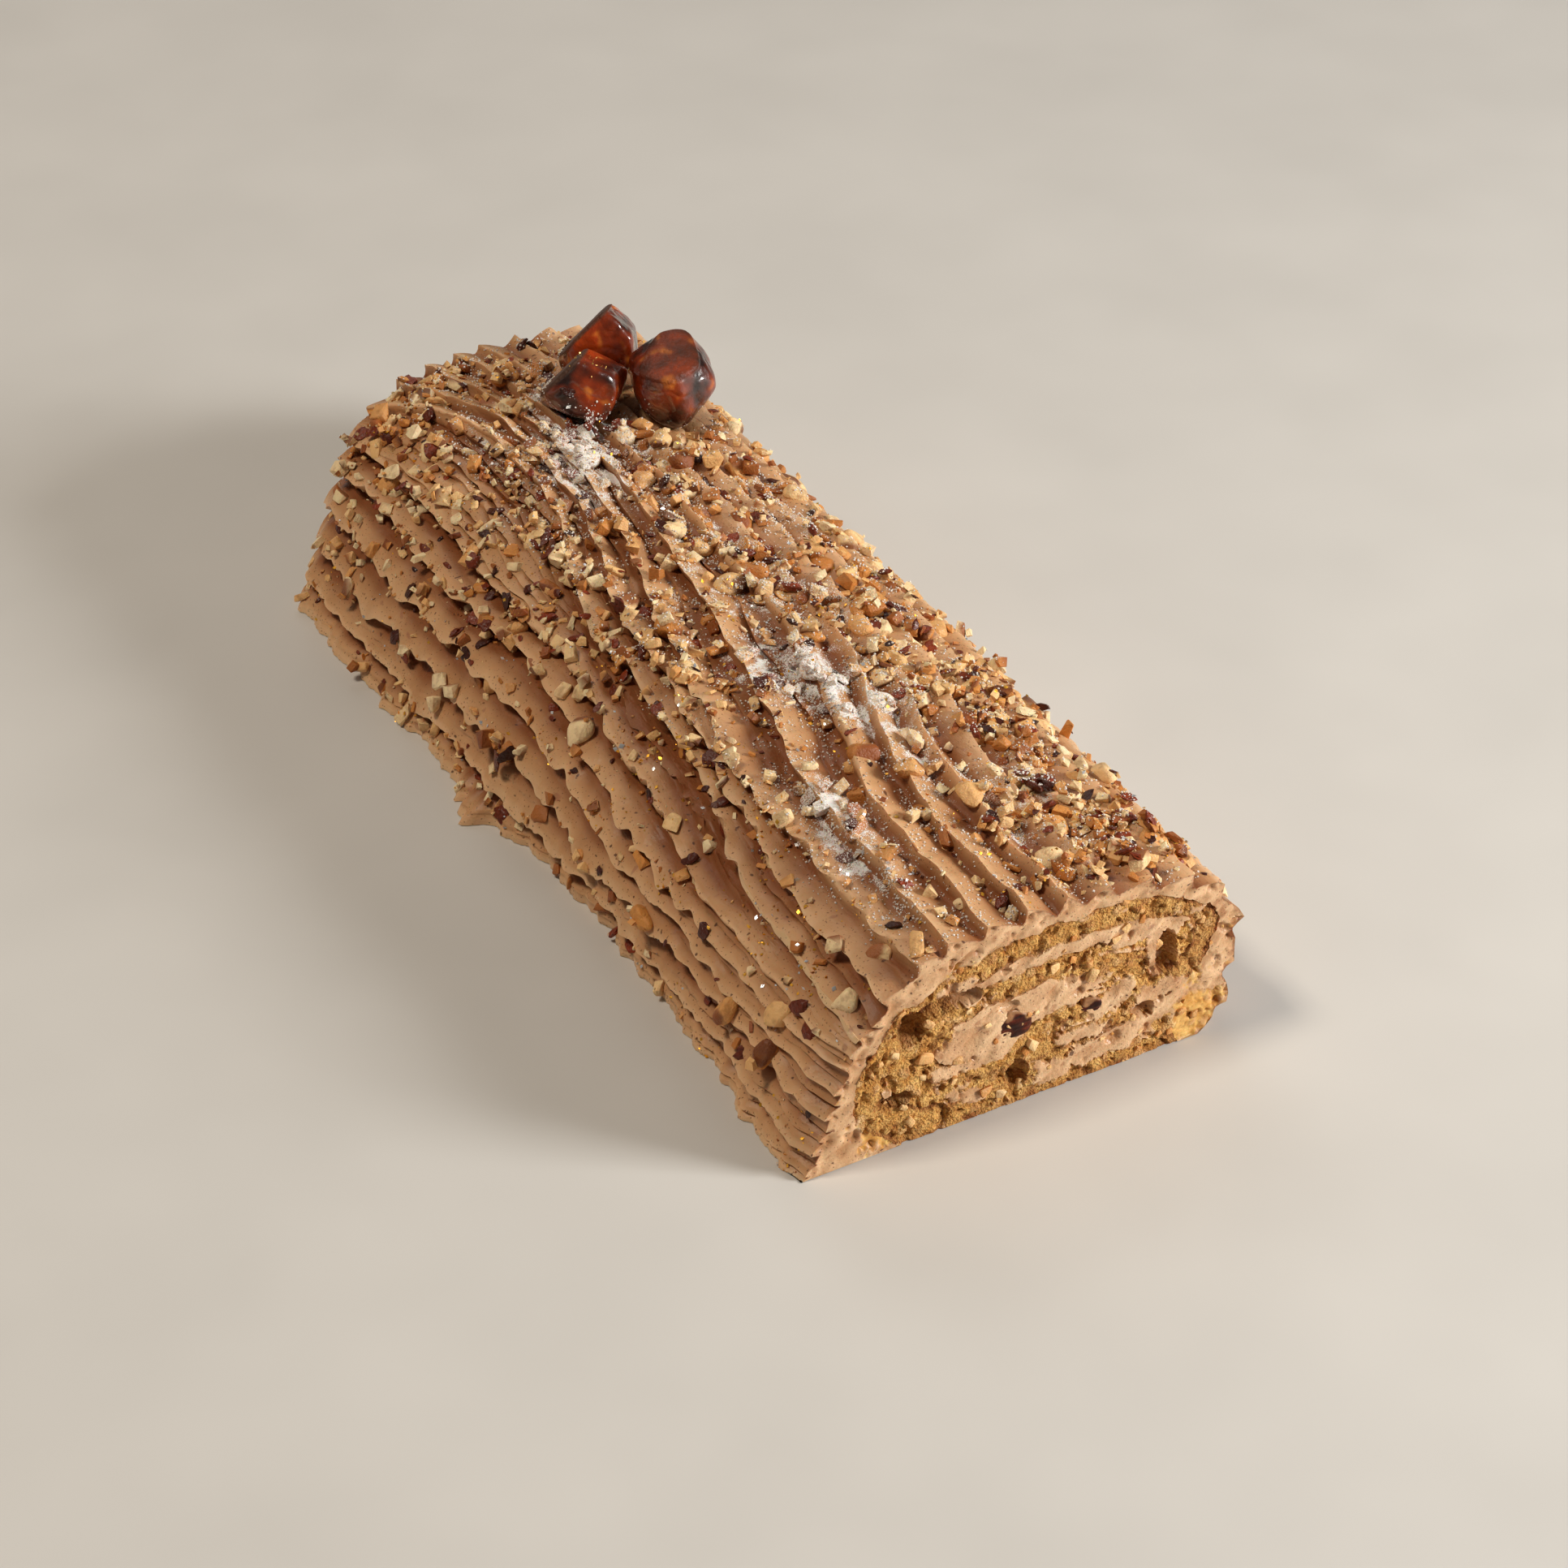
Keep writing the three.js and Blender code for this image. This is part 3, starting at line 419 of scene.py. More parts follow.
def make_piece(name, points, faces, material, colours, crease=50, **attributes):
    """A mesh from points in millimetres of the log, riding on the cake."""
    mesh = bpy.data.meshes.new(name)
    mesh.from_pydata((np.asarray(points) - LOG_MIDDLE) / 1000, [], faces)
    mesh.update()
    mesh.polygons.foreach_set("use_smooth", np.ones(len(mesh.polygons), bool))
    mesh.set_sharp_from_angle(angle=np.radians(crease))
    tint = mesh.color_attributes.new("tint", "FLOAT_COLOR", "POINT")
    tint.data.foreach_set("color", np.column_stack([colours, np.ones(len(colours))]).ravel())
    for key, values in attributes.items():
        mesh.attributes.new(key, "FLOAT", "POINT").data.foreach_set("value", values)
    mesh.materials.append(material)
    made = bpy.data.objects.new(name, mesh)
    bpy.context.scene.collection.objects.link(made)
    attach(made, "root")
    return made


def cut_through(name, outline, own, material):
    """A layer of the log between its two cuts; own is 1 for a layer of cream, 0 for sponge."""
    flat, faces, rim = cut_face(outline)
    edge = distance_from(flat, outline)
    points, colours, cream = [], [], []
    for is_far in (False, True):
        face = kneaded(flat, is_far)
        back, colour, creamy = sawn(face, edge, is_far, own)
        y = far_cut_at(face[:, 0], face[:, 1]) - back if is_far else back
        points.append(np.column_stack([face[:, 0], y, face[:, 1]]))
        colours.append(colour)
        cream.append(creamy)
    count = len(flat)
    if ((flat[rim] * np.roll(flat[rim], -1, axis=0)[:, ::-1]) @ [1, -1]).sum() < 0:
        rim = rim[::-1]
    ahead = np.roll(rim, -1)
    walls = np.column_stack([rim, rim + count, ahead + count, ahead])
    every = [*faces.tolist(), *(faces[:, ::-1] + count).tolist(), *walls.tolist()]
    return make_piece(name, np.vstack(points), every, material, np.vstack(colours),
                      cream=np.concatenate(cream))


def node(material, kind, inputs=None, **settings):
    """A shader node with its inputs linked or set."""
    made = material.node_tree.nodes.new("ShaderNode" + kind)
    for key, value in settings.items():
        setattr(made, key, value)
    for key, value in (inputs or {}).items():
        if isinstance(value, bpy.types.NodeSocket):
            material.node_tree.links.new(value, made.inputs[key])
        else:
            made.inputs[key].default_value = value
    return made


def foodstuff(name, **sockets):
    """A material whose Principled sockets are set directly, and its object-space place."""
    material = bpy.data.materials.new(name)
    material.use_nodes = True
    shader = material.node_tree.nodes["Principled BSDF"]
    for socket, value in sockets.items():
        shader.inputs[socket.replace("_", " ")].default_value = value
    return material, shader, node(material, "TexCoord").outputs["Object"]


def tinted(material, colour, share, other, blend="MIX"):
    """Mixes two colours, each a socket or plain, by a share that is a socket or plain."""
    mix = node(material, "Mix", {0: share, 6: colour, 7: other}, data_type="RGBA", blend_type=blend)
    return mix.outputs[2]


def grains(material, place, size, low, high, detail=2.0):
    """0 to 1 over uneven grains of a size in millimetres."""
    noise = node(material, "TexNoise", {"Vector": place, "Scale": 1000 / size, "Detail": detail})
    spread = {"Value": noise.outputs["Fac"], "From Min": low, "From Max": high}
    return node(material, "MapRange", spread).outputs[0]


def blended(material, first, share, second):
    """Mixes two plain numbers or sockets by a share."""
    return node(material, "Mix", {0: share, 2: first, 3: second}).outputs[0]


def finish_material(material, shader, colour, height, depth):
    """Links the colour, and a relief whose depth is in millimetres."""
    bump = {"Height": height, "Distance": depth / 1000, "Strength": 1.0}
    links = material.node_tree.links
    links.new(colour, shader.inputs["Base Color"])
    links.new(node(material, "Bump", bump).outputs[0], shader.inputs["Normal"])
    return material


def attribute(material, name, output):
    return node(material, "Attribute", attribute_name=name).outputs[output]


def nut_specks(material, place, colour):
    """Specks of ground nut in cream: sizes in millimetres, share of cells kept, colour, depth."""
    for size, reach, share, dark, strength in SPECKS:
        bent = node(material, "TexNoise", {"Vector": place, "Scale": 900 / size, "Detail": 1.0})
        shift = {0: bent.outputs["Color"], 1: [0.0011 * size] * 3, 2: place}
        shifted = node(material, "VectorMath", shift, operation="MULTIPLY_ADD").outputs[0]
        cells = node(material, "TexVoronoi", {"Vector": shifted, "Scale": 1000 / size})
        few = node(material, "SeparateColor", {0: cells.outputs["Color"]})
        near = node(material, "MapRange", {"Value": cells.outputs["Distance"], "From Min": reach,
                                           "From Max": reach * 0.6, "To Max": strength})
        kept = node(material, "Math", {0: few.outputs[0], 1: share}, operation="GREATER_THAN")
        both = {0: near.outputs[0], 1: kept.outputs[0]}
        speck = node(material, "Math", both, operation="MULTIPLY")
        colour = tinted(material, colour, speck.outputs[0], dark)
    return colour


def sawn_cake(name):
    """Sponge and buttercream in one cut face, told apart by how creamy it is."""
    material, shader, place = foodstuff(name, Specular_IOR_Level=0.42, Subsurface_Weight=0.12,
                                        Subsurface_Scale=0.0012)
    cream, tint = attribute(material, "cream", "Fac"), attribute(material, "tint", "Color")
    # Painted shade in the fine pores: the crumb is darker where its bump sinks.
    pores = grains(material, place, 0.6, 0.38, 0.6)
    dark = tinted(material, (0.5, 0.29, 0.12, 1), pores, (1, 1, 1, 1))
    crumb = tinted(material, tint, 0.55, dark, "MULTIPLY")
    golden = grains(material, place, 3.5, 0.42, 0.62)
    crumb = tinted(material, crumb, golden, tinted(material, crumb, 0.25, (0.70, 0.38, 0.12, 1)))
    colour = tinted(material, crumb, cream, nut_specks(material, place, tint))
    material.node_tree.links.new(blended(material, 0.9, cream, 0.27), shader.inputs["Roughness"])
    smooth = blended(material, 0.5, 0.3, grains(material, place, 0.8, 0.3, 0.7, 3))
    return finish_material(material, shader, colour, blended(material, pores, cream, smooth), 0.32)


sponge_outline = np.vstack([
    outer_face,
    between(outer_face[-1], inner_face[-1]),
    inner_face[::-1],
    between(inner_face[0], outer_face[0]),
])
sponge = cut_through("rolled_sponge", sponge_outline, 0, sawn_cake("sawn sponge"))
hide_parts("sponge")

# ---------------------------------------------------------------- filling
# Nut buttercream, spread 3 to 8 mm thick on the sheet before it is rolled. The knife draws it
# into smears over the crumb, and ground nuts show in it as brown specks.

sealed = int(np.searchsorted(roll_turns, SEAL_TURN))
filling_outline = np.vstack([
    inner_face,
    between(inner_face[-1], outer_face[-1]),
    outer_face[:sealed - 1:-1],
    between(outer_face[sealed], inner_face[0]),
])
filling = cut_through("filling", filling_outline, 1, sawn_cake("sawn buttercream"))
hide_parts("filling")

# ---------------------------------------------------------------- chestnut in the filling
# Dark candied chestnut, chopped into the core's cream. The knife went through a piece at each
# end, and left it glossy, with the streaks of the blade.

CHUNK_SOFTNESS, LUMP_REACH = 10, 1.35
CHUNK_DARK, CHUNK_STREAK = (44, 12, 5), (118, 44, 20)
CHUNKS = {
    "chestnut_in_filling_front": ([48, 4.8, 22.8], [4.6, 5, 4.3]),
    "chestnut_in_filling_small": ([68.5, 3.2, 20.2], [2.6, 3.2, 2.2]),
    "chestnut_in_filling_far": ([56, 269.6, 24.2], [4.4, 5, 3.8]),
}
CHUNK_FACES = [
    [1, 0.1, 0.1, 1],
    [-1, 0.1, 0.2, 1],
    [0.1, 1, 0, 1],
    [-0.1, -1, 0, 1],
    [0.15, 0, 1, 1],
    [-0.1, 0, -1, 1],
    [0.6, -0.2, 0.7, 1.12],
    [-0.6, 0.2, 0.7, 1.05],
]


def ball(detail):
    """Directions and faces of an even ball of triangles."""
    made = bmesh.new()
    bmesh.ops.create_icosphere(made, subdivisions=detail, radius=1)
    ways = np.array([v.co for v in made.verts])
    faces = np.array([[v.index for v in face.verts] for face in made.faces])
    made.free()
    return ways / np.linalg.norm(ways, axis=1)[:, None], faces


def lump(ways, faces, softness):
    """How far a lump with soft edges reaches each way; faces are x, y, z and distance."""
    faces = np.array(faces, float)
    normals = faces[:, :3] / np.linalg.norm(faces[:, :3], axis=1)[:, None]
    towards = np.maximum(ways @ normals.T, 0) / faces[:, 3]
    corner = LUMP_REACH * faces[:, 3].max()
    return ((towards**softness).sum(axis=1) + corner**-softness) ** (-1 / softness)


def veined(name, veins, share, dark, depth, relief=None, powder=None, **sockets):
    """A finish with dark veins in its tint, whose relief follows them or has grains of its own."""
    material, shader, place = foodstuff(name, **sockets)
    tint = attribute(material, "tint", "Color")
    marks = grains(material, place, *veins, 4)
    colour = tinted(material, tint, marks, tinted(material, tint, share, (*dark, 1)))
    height = grains(material, place, *relief) if relief else marks
    colour = powder(material, colour) if powder else colour
    return finish_material(material, shader, colour, height, depth)


def candied_chestnut(name, streaks, gloss, shine=0.5):
    """Chestnut soaked in syrup; gloss is how much clear sugar glaze lies on it."""
    return veined(name, (streaks, 0.35, 0.66), 0.45, (0.016, 0.003, 0.002), 0.1, (1.6, 0.3, 0.7, 2),
                  Roughness=0.34, Specular_IOR_Level=shine, Coat_Weight=gloss, Coat_Roughness=0.04,
                  Coat_IOR=1.5, Subsurface_Weight=0.12, Subsurface_Scale=0.003)


chunk_stuff = candied_chestnut("sawn chestnut", 1.1, 0, 0.2)
chunk_ways, chunk_faces = ball(5)
for name, (middle, half) in CHUNKS.items():
    points = chunk_ways * lump(chunk_ways, CHUNK_FACES, CHUNK_SOFTNESS)[:, None] * half + middle
    blade = mottle(points * [0.2, 1, 1], 0.7, 21)
    points -= chunk_ways * (0.1 + 0.14 * blade + 0.12 * mottle(points, 1.9, 22))[:, None]
    height = (points[:, 2] - middle[2]) / half[2]
    smeared = smoothstep(mottle(points, 2.4, 25) + height - 0.35, 0.1, 0.35)
    colour = shade(CHUNK_DARK, CHUNK_STREAK, 0.35 + blade)
    colour = lerp(colour, srgb(CREAM_DEEP), 0.75 * smeared[:, None])
    chunk = make_piece(name + "_looks", points, chunk_faces.tolist(), chunk_stuff, colour)
    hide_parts(name)

# ---------------------------------------------------------------- nuts and crumbs in the cuts
# Chopped nuts from the sponge's dough and the cream, cut through or torn loose, and crumbs that
# the knife left standing on both cut faces. They only stick there.

# Nuts in the front cut: x, z, size, and tone from pale to toasted.
NUTS_IN_FRONT = [
    [25.5, 22, 6.6, 0.42],
    [26, 31.6, 4, 0.35],
    [41.5, 6.5, 5, 0.55],
    [86, 30, 4.6, 0.4],
    [76.5, 39, 4, 0.3],
    [53, 15, 5, 0.1],
    [58, 35, 4.6, 0.2],
    [68, 29, 5, 0.2],
    [93, 9, 3.5, 0.5],
    [62, 33, 3, 0.3],
    [36, 31.4, 3, 0.15],
    [20, 10.6, 2.8, 0.2],
    [33, 12.5, 3, 0.25],
    [80, 12, 2.6, 0.3],
    [72, 9, 2.4, 0.2],
    [97, 6, 3.4, 0.45],
    [90, 4, 3, 0.6],
]
NUT_TONES = [
    [0, 0.35, 0.7, 1],
    [(252, 230, 186), (244, 200, 138), (216, 146, 72), (150, 78, 32)],
]
NUT_SKIN, NUT_ROASTED, SKIN_STRENGTH = (88, 38, 20), (158, 84, 38), 0.92
STRAY_NUTS, STRAY_NUT_SIZES, CRUMBS, CRUMB_SIZES = 84, (1.4, 4.0), 560, (0.4, 1.5)
CUT_NUT_SHAPE, CUT_NUT_TONES = [1.08, 0.85, 0.5], (0.2, 0.75)
CUT_DEPTH = 6  # no point of a cut face lies further back than this
CHIP_CORNERS, CHIP_KINDS, CHIP_BEVEL = 3, 24, 0.07
BLOCK_CORNERS = np.array(list(itertools.product((-1, 1), repeat=3)))
FAR_HALF = 138


def unit(ways):
    return ways / np.linalg.norm(ways, axis=-1, keepdims=True)


def chip(bevel):
    """A broken bit with flat faces, about 2 across: its points, its faces and its points' ways."""
    made = bmesh.new()
    corners = np.vstack([
        BLOCK_CORNERS * dice.uniform(0.3, 0.8, BLOCK_CORNERS.shape),
        unit(dice.normal(size=(CHIP_CORNERS, 3))) * dice.uniform(0.6, 0.95, (CHIP_CORNERS, 1)),
    ])
    for corner in corners / np.linalg.norm(corners, axis=1).max():
        made.verts.new(corner)
    hull = bmesh.ops.convex_hull(made, input=made.verts)
    inner = list(dict.fromkeys([*hull["geom_interior"], *hull["geom_unused"]]))
    bmesh.ops.delete(made, geom=inner, context="VERTS")
    if bevel:
        bmesh.ops.bevel(made, geom=made.edges, offset=bevel, segments=1, affect="EDGES",
                        clamp_overlap=True)
    bmesh.ops.triangulate(made, faces=made.faces)
    bmesh.ops.recalc_face_normals(made, faces=made.faces)
    made.normal_update()
    made.verts.index_update()
    points, ways = np.array([v.co for v in made.verts]), np.array([v.normal for v in made.verts])
    # Sorted, because the cut into triangles gives them in another order on each run.
    faces = np.array(sorted([v.index for v in face.verts] for face in made.faces))
    made.free()
    return points, faces, ways


def lying(ups, tilt):
    """For bits that lie on a surface: each one's axes, turned and tipped at random."""
    up = unit(ups + np.reshape(tilt, (-1, 1)) * dice.normal(size=ups.shape))
    along = unit(np.cross(up, dice.normal(size=up.shape)))
    return np.stack([along, np.cross(up, along), up], axis=1)


def through_tones(tones, share):
    """Colours along a list of tones."""
    return np.column_stack([np.interp(share, tones[0], channel) for channel in srgb(tones[1]).T])


class Strewn:
    """Collects many small bits into one mesh."""

    def __init__(self):
        self.points, self.faces, self.colours, self.dust, self.count = [], [], [], [], 0

    def add(self, points, faces, colours, dust):
        """Adds bits of one shape: each has its own points, colours and dust."""
        many, each = points.shape[:2]
        starts = self.count + each * np.arange(many)
        self.points.append(points.reshape(-1, 3))
        self.faces.append((faces + starts[:, None, None]).reshape(-1, 3))
        self.colours.append(np.broadcast_to(colours, points.shape).reshape(-1, 3))
        self.dust.append(np.repeat(dust, each))
        self.count += many * each

    def scatter(self, kinds, spots, ups, sizes, shapes, tones, tilt, dust, skinned=0.0):
        """Lays chips on their spots; a share of them keeps a brown skin on one side."""
        count = len(spots)
        frames, kind = lying(ups, tilt), dice.integers(0, len(kinds), count)
        skin_way, has_skin = unit(dice.normal(size=(count, 3))), dice.random(count) < skinned
        brown = shade(NUT_SKIN, NUT_ROASTED, dice.random(count))
        for number, (points, faces, ways) in enumerate(kinds):
            own = kind == number
            scaled = points * (shapes[own] * sizes[own, None] / 2)[:, None, :]
            skin = smoothstep(skin_way[own] @ ways.T, 0.3, 0.45) * has_skin[own, None]
            colours = lerp(tones[own][:, None, :], brown[own][:, None, :],
                           SKIN_STRENGTH * skin[..., None])
            placed = scaled @ frames[own] + spots[own][:, None, :]
            placed[..., 2] += np.maximum(-placed[..., 2].min(axis=1, keepdims=True), 0)
            self.add(placed, faces, colours, dust[own])

    def surface(self):
        return np.vstack(self.points), np.vstack(self.faces)

    def make(self, name, material, slot, crease=40):
        points, faces = self.surface()
        made = make_piece(name, points, faces.tolist(), material, np.vstack(self.colours), crease,
                          dust=np.concatenate(self.dust))
        return made


worn_chips = [chip(CHIP_BEVEL) for _ in range(CHIP_KINDS)]
sharp_chips = [chip(0) for _ in range(CHIP_KINDS)]


def sugared(material, colour):
    """White powder over a colour, in fine grains, as thick as the dust attribute says."""
    dust, place = attribute(material, "dust", "Fac"), node(material, "TexCoord").outputs["Object"]
    powder = {"Vector": place, "Scale": 2900.0, "Detail": 4.0, "Roughness": 0.75}
    noise = node(material, "TexNoise", powder).outputs["Fac"]
    over = node(material, "Math", {0: dust, 1: noise}, operation="SUBTRACT").outputs[0]
    share = node(material, "MapRange", {"Value": over, "From Min": 0.0, "From Max": 0.1})
    return tinted(material, colour, share.outputs[0], (0.86, 0.84, 0.82, 1))


def chopped_nut(name, blotch_size):
    """Roasted hazelnut, cream to golden, with toasted blotches."""
    return veined(name, (blotch_size, 0.48, 0.7), 0.5, (0.30, 0.11, 0.025), 0.12,
                  (0.5, 0.3, 0.7, 3), sugared, Roughness=0.46, Specular_IOR_Level=0.4,
                  Subsurface_Weight=0.15, Subsurface_Scale=0.0012)


def cut_spots(made, limit, above):
    """Points of a layer's two cut faces that are more, or less, creamy than a limit."""
    count = len(made.data.vertices)
    place, cream = np.empty(count * 3), np.empty(count)
    made.data.vertices.foreach_get("co", place)
    made.data.attributes["cream"].data.foreach_get("value", cream)
    place = place.reshape(-1, 3) * 1000 + LOG_MIDDLE
    from_far = far_cut_at(place[:, 0], place[:, 2]) - place[:, 1]
    on_face = np.minimum(place[:, 1], from_far) < CUT_DEPTH
    return place[on_face & ((cream > limit) == above) & (place[:, 2] > 1)]


def out_of_cut(spots):
    """Which way a cut face looks at some spots: forward, or back on the far half of the log."""
    return np.array([[0, -1.0, 0]]) * np.where(spots[:, 1] > FAR_HALF, -1, 1)[:, None]


cut_nuts = Strewn()
named = np.array(NUTS_IN_FRONT)
stray = np.vstack([cut_spots(sponge, 0.5, False), cut_spots(filling, 0.5, True)])
stray = dice.permutation(stray)[:STRAY_NUTS]
named_back = sawn(named[:, :2], np.full(len(named), WELL_INSIDE), False, 0)[0]
spots = np.vstack([np.column_stack([named[:, 0], named_back * 0.6, named[:, 1]]), stray])
sizes = np.append(named[:, 2], dice.uniform(*STRAY_NUT_SIZES, STRAY_NUTS))
palest, spread = CUT_NUT_TONES
toasting = np.append(named[:, 3], dice.uniform(0, 0.8, STRAY_NUTS))
tones = through_tones(NUT_TONES, palest + spread * toasting)
ups = out_of_cut(spots)
spots = spots + ups * (0.04 * sizes)[:, None]
shapes = np.tile(CUT_NUT_SHAPE, (len(spots), 1))
cut_nuts.scatter(worn_chips, spots, ups, sizes, shapes, tones, 0.12, np.zeros(len(spots)))
cut_nuts.make("nuts_in_the_cuts", chopped_nut("sawn nut", 3.0), "chopped_nuts")

crumbs = Strewn()
spots = np.vstack([cut_spots(sponge, 0.5, False), cut_spots(filling, 0.5, False)])
spots = dice.permutation(spots)[:CRUMBS]
sizes = lerp(*CRUMB_SIZES, dice.random(CRUMBS) ** 2)
ups = out_of_cut(spots)
spots, shapes = spots - ups * (0.1 * sizes)[:, None], dice.uniform(0.7, 1, (CRUMBS, 3))
tones = shade(SPONGE_GOLD, SPONGE_PALE, dice.random(CRUMBS))
crumbs.scatter(sharp_chips, spots, ups, sizes, shapes, tones, 0.5, np.zeros(CRUMBS))
crumbs.make("crumbs_on_the_cuts", sawn_cake("loose crumb"), "sponge")

# ---------------------------------------------------------------- icing
# The same nut buttercream, 6 to 15 mm thick, spread over the top and sides with a palette knife.
# Each stroke leaves a rounded furrow and a sharp lip that leans over it, like bark. A notched
# scraper left finer lines at the front left and under the arch. Icing sugar is sifted on top.

LOG_LENGTH, WAY_ROUND = 276, 190
ICING_WAY = [0, 15, 33, 51, 66, 80, 98, 120, 139, 152, 159, 167, 175, 182, 190]
ICING_X = [-9, -4, 3, 15, 28, 42, 60, 82, 99, 107, 109, 107, 107, 104.5, 98]
ICING_Z = [0, 14, 31, 44, 51.6, 53.5, 53.5, 50.6, 44.5, 34, 27, 19, 11, 5, 0]
LEFT_FOOT = [[0, 22, 60, 120, 156, 190, 226, 276], [-9, -6, -3, -2, -6, -7, -9, -10]]
FOOT_HEIGHT, FOOT_LUMP = 33, (165, 9, 6)
STROKE_STATIONS = [0, 60, 100, 150, 200, 240, 276]
STROKE_RIDGES = [0, 2, 4, 5, 6, 8, 10, 14, 20]
STROKE_LINES = [
    [0, 0, 0, 0, 0, 0, 0],
    [19, 19, 18, 22, 20, 19, 19],
    [31, 30, 34, 43, 41, 42, 40],
    [35, 36, 43, 50, 50, 51, 46],
    [41, 47, 57, 61, 75, 75, 57],
    [61, 61, 66, 78, 88, 87, 76],
    [80, 84, 96, 101, 103, 101, 93],
    [119, 121, 130, 134, 135, 133, 130],
    [190, 190, 190, 190, 190, 190, 190],
]
RIDGES, RIDGE_DEPTH_PER_PITCH, RIDGE_LEAN, RIDGE_SHARPNESS = 20, 0.42, 0.5, 1.6
TOP_OF_ROUND, TOP_BLEND, FURROW_PLACE, FOOT_FADE = 104, 12, 0.13, 8
# On the left side the strokes are flat, and lie over each other like shingles.
SHINGLE_FURROW, SHINGLE_FLATNESS, SHINGLES_FADE_UP, SHINGLES_START = 0.2, 0.45, (52, 82), (40, 100)
FURROW_WAYS = [0, 30, 60, 95, 125, 165, 190]
FRONT_DEPTHS = [2.2, 3.2, 3.9, 3.7, 3.1, 3.4, 1.8]
BACK_DEPTHS, BACK_STARTS = [3, 3.8, 3.6, 2.8, 2.6, 2.4, 1.8], (70, 130)
# Thin lips between two ridges, counted from the left foot, and the shape of each.
LIPS_IN_RIDGE = np.array([3, 3, 2, 2, 2, 8, 2, 2, 2, 2, *[1] * 10])
FIRST_LIP = np.append(0, np.cumsum(LIPS_IN_RIDGE))
LIP_FURROW, LIP_DEPTH_PER_PITCH, DEEPEST_LIP, LIP_HANG = 0.8, 0.62, 2.5, 0.36
SIDE_LOBES, TOP_LOBES, ROUNDED_TOP, RIDGE_SHARE_LEFT, RIDGE_SHARE_WIDE = 2.2, 0.32, 0.6, 0.7, 1.45
LEFT_FADES_UP, WIDE_START = (58, 84), (30, 80)
# The front top and the last stretch before the far cut have hardly any thin lips.
BARE_TOP_FROM, BARE_TOP_ENDS, LIPS_FADE_OUT = (46, 60), (45, 95), (LOG_LENGTH - 40, LOG_LENGTH - 12)
# The icing rounds off over both cuts: how much, how far in, and from which way round.
ROUNDED_BY, ROUNDED_IN, ROUNDED_WAYS = 3.4, 9, (30, 56)
WIDE_LOBES, ARCH_RIDGE, ARCH_START, THIN_LEFT_OUT, ARCH_DIP = 4.2, 5, (145, 180), 0.8, 1.6
ICING_ROWS, ICING_CUT_GRAIN = 310, 0.5
# Where the mesh has its points over one lip, or over one ridge without lips.
LIP_POINTS, ARCH_POINTS = [0, 0.18, 0.38, 0.6, 0.8, 0.88, 0.95], [0, 0.3, 0.6, 0.8, 0.88, 0.95]
TOP_POINTS = [*np.linspace(0, 0.6, 9), 0.66, 0.75, 0.84, 0.93]
RIGHT_POINTS, FIRST_RIGHT_RIDGE = [0, 0.15, 0.3, 0.4, 0.6, 0.8], 14
# Where sugar was sifted on: along, way round, spread along, spread round, thickness.
SUGAR_PATCHES = [
    [38, 66, 18, 9, 0.42],
    [60, 72, 14, 8, 0.4],
    [97, 93, 15, 7, 0.72],
    [112, 84, 16, 8, 0.3],
    [88, 104, 14, 8, 0.28],
    [216, 92, 20, 15, 0.42],
    [196, 82, 18, 10, 0.24],
    [232, 104, 16, 10, 0.24],
    [236, 70, 16, 9, 0.2],
    [140, 96, 26, 11, 0.24],
    [66, 98, 22, 10, 0.26],
    [26, 106, 18, 12, 0.24],
    [50, 118, 16, 9, 0.24],
    [124, 112, 18, 9, 0.26],
    [180, 104, 26, 11, 0.2],
    [170, 128, 22, 9, 0.2],
    [250, 96, 18, 14, 0.24],
]
# Between the patches it lies thinly over the top, and nowhere thicker than a limit.
SUGAR_ON_TOP, SUGAR_FROM, SUGAR_TO, THICKEST_SUGAR = 0.3, (52, 72), (128, 146), 0.76

outline_x, outline_z = smooth_through(ICING_WAY, ICING_X), smooth_through(ICING_WAY, ICING_Z)
front_depth = smooth_through(FURROW_WAYS, FRONT_DEPTHS)
back_depth = smooth_through(FURROW_WAYS, BACK_DEPTHS)
stroke_curves = [smooth_through(STROKE_STATIONS, line) for line in STROKE_LINES]


def stroke_line(along, ridge):
    """Way round of a ridge, or of a place between two ridges, at a place along the log."""
    known = np.array(STROKE_RIDGES, float)
    above = np.clip(np.searchsorted(known, ridge), 1, len(known) - 1)
    ways = np.array([curve(along) for curve in stroke_curves])
    every = np.arange(len(along))
    share = (ridge - known[above - 1]) / (known[above] - known[above - 1])
    return lerp(ways[above - 1, every], ways[above, every], share)


def outline_normal(way):
    dx = outline_x(way + 0.5) - outline_x(way - 0.5)
    dz = outline_z(way + 0.5) - outline_z(way - 0.5)
    length = np.hypot(dx, dz)
    return -dz / length, dx / length


def leaning(way):
    """Which way the ridges lean: -1 on the left and the top, 1 on the right."""
    return 2 * smoothstep(way, TOP_OF_ROUND - TOP_BLEND, TOP_OF_ROUND + TOP_BLEND) - 1


def shingling(along, way):
    """How flat and shingled the strokes are: 1 on the left side, behind the front part."""
    return (1 - smoothstep(way, *SHINGLES_FADE_UP)) * smoothstep(along, *SHINGLES_START)


def ridge_depth(along, ridge_below, way):
    pitch = stroke_line(along, ridge_below + 1) - stroke_line(along, ridge_below)
    deepest = lerp(front_depth(way), back_depth(way), smoothstep(along, *BACK_STARTS))
    uneven = 1 + 0.25 * wander(along, ridge_below + 5, 46)
    return np.minimum(RIDGE_DEPTH_PER_PITCH * pitch, deepest) * uneven


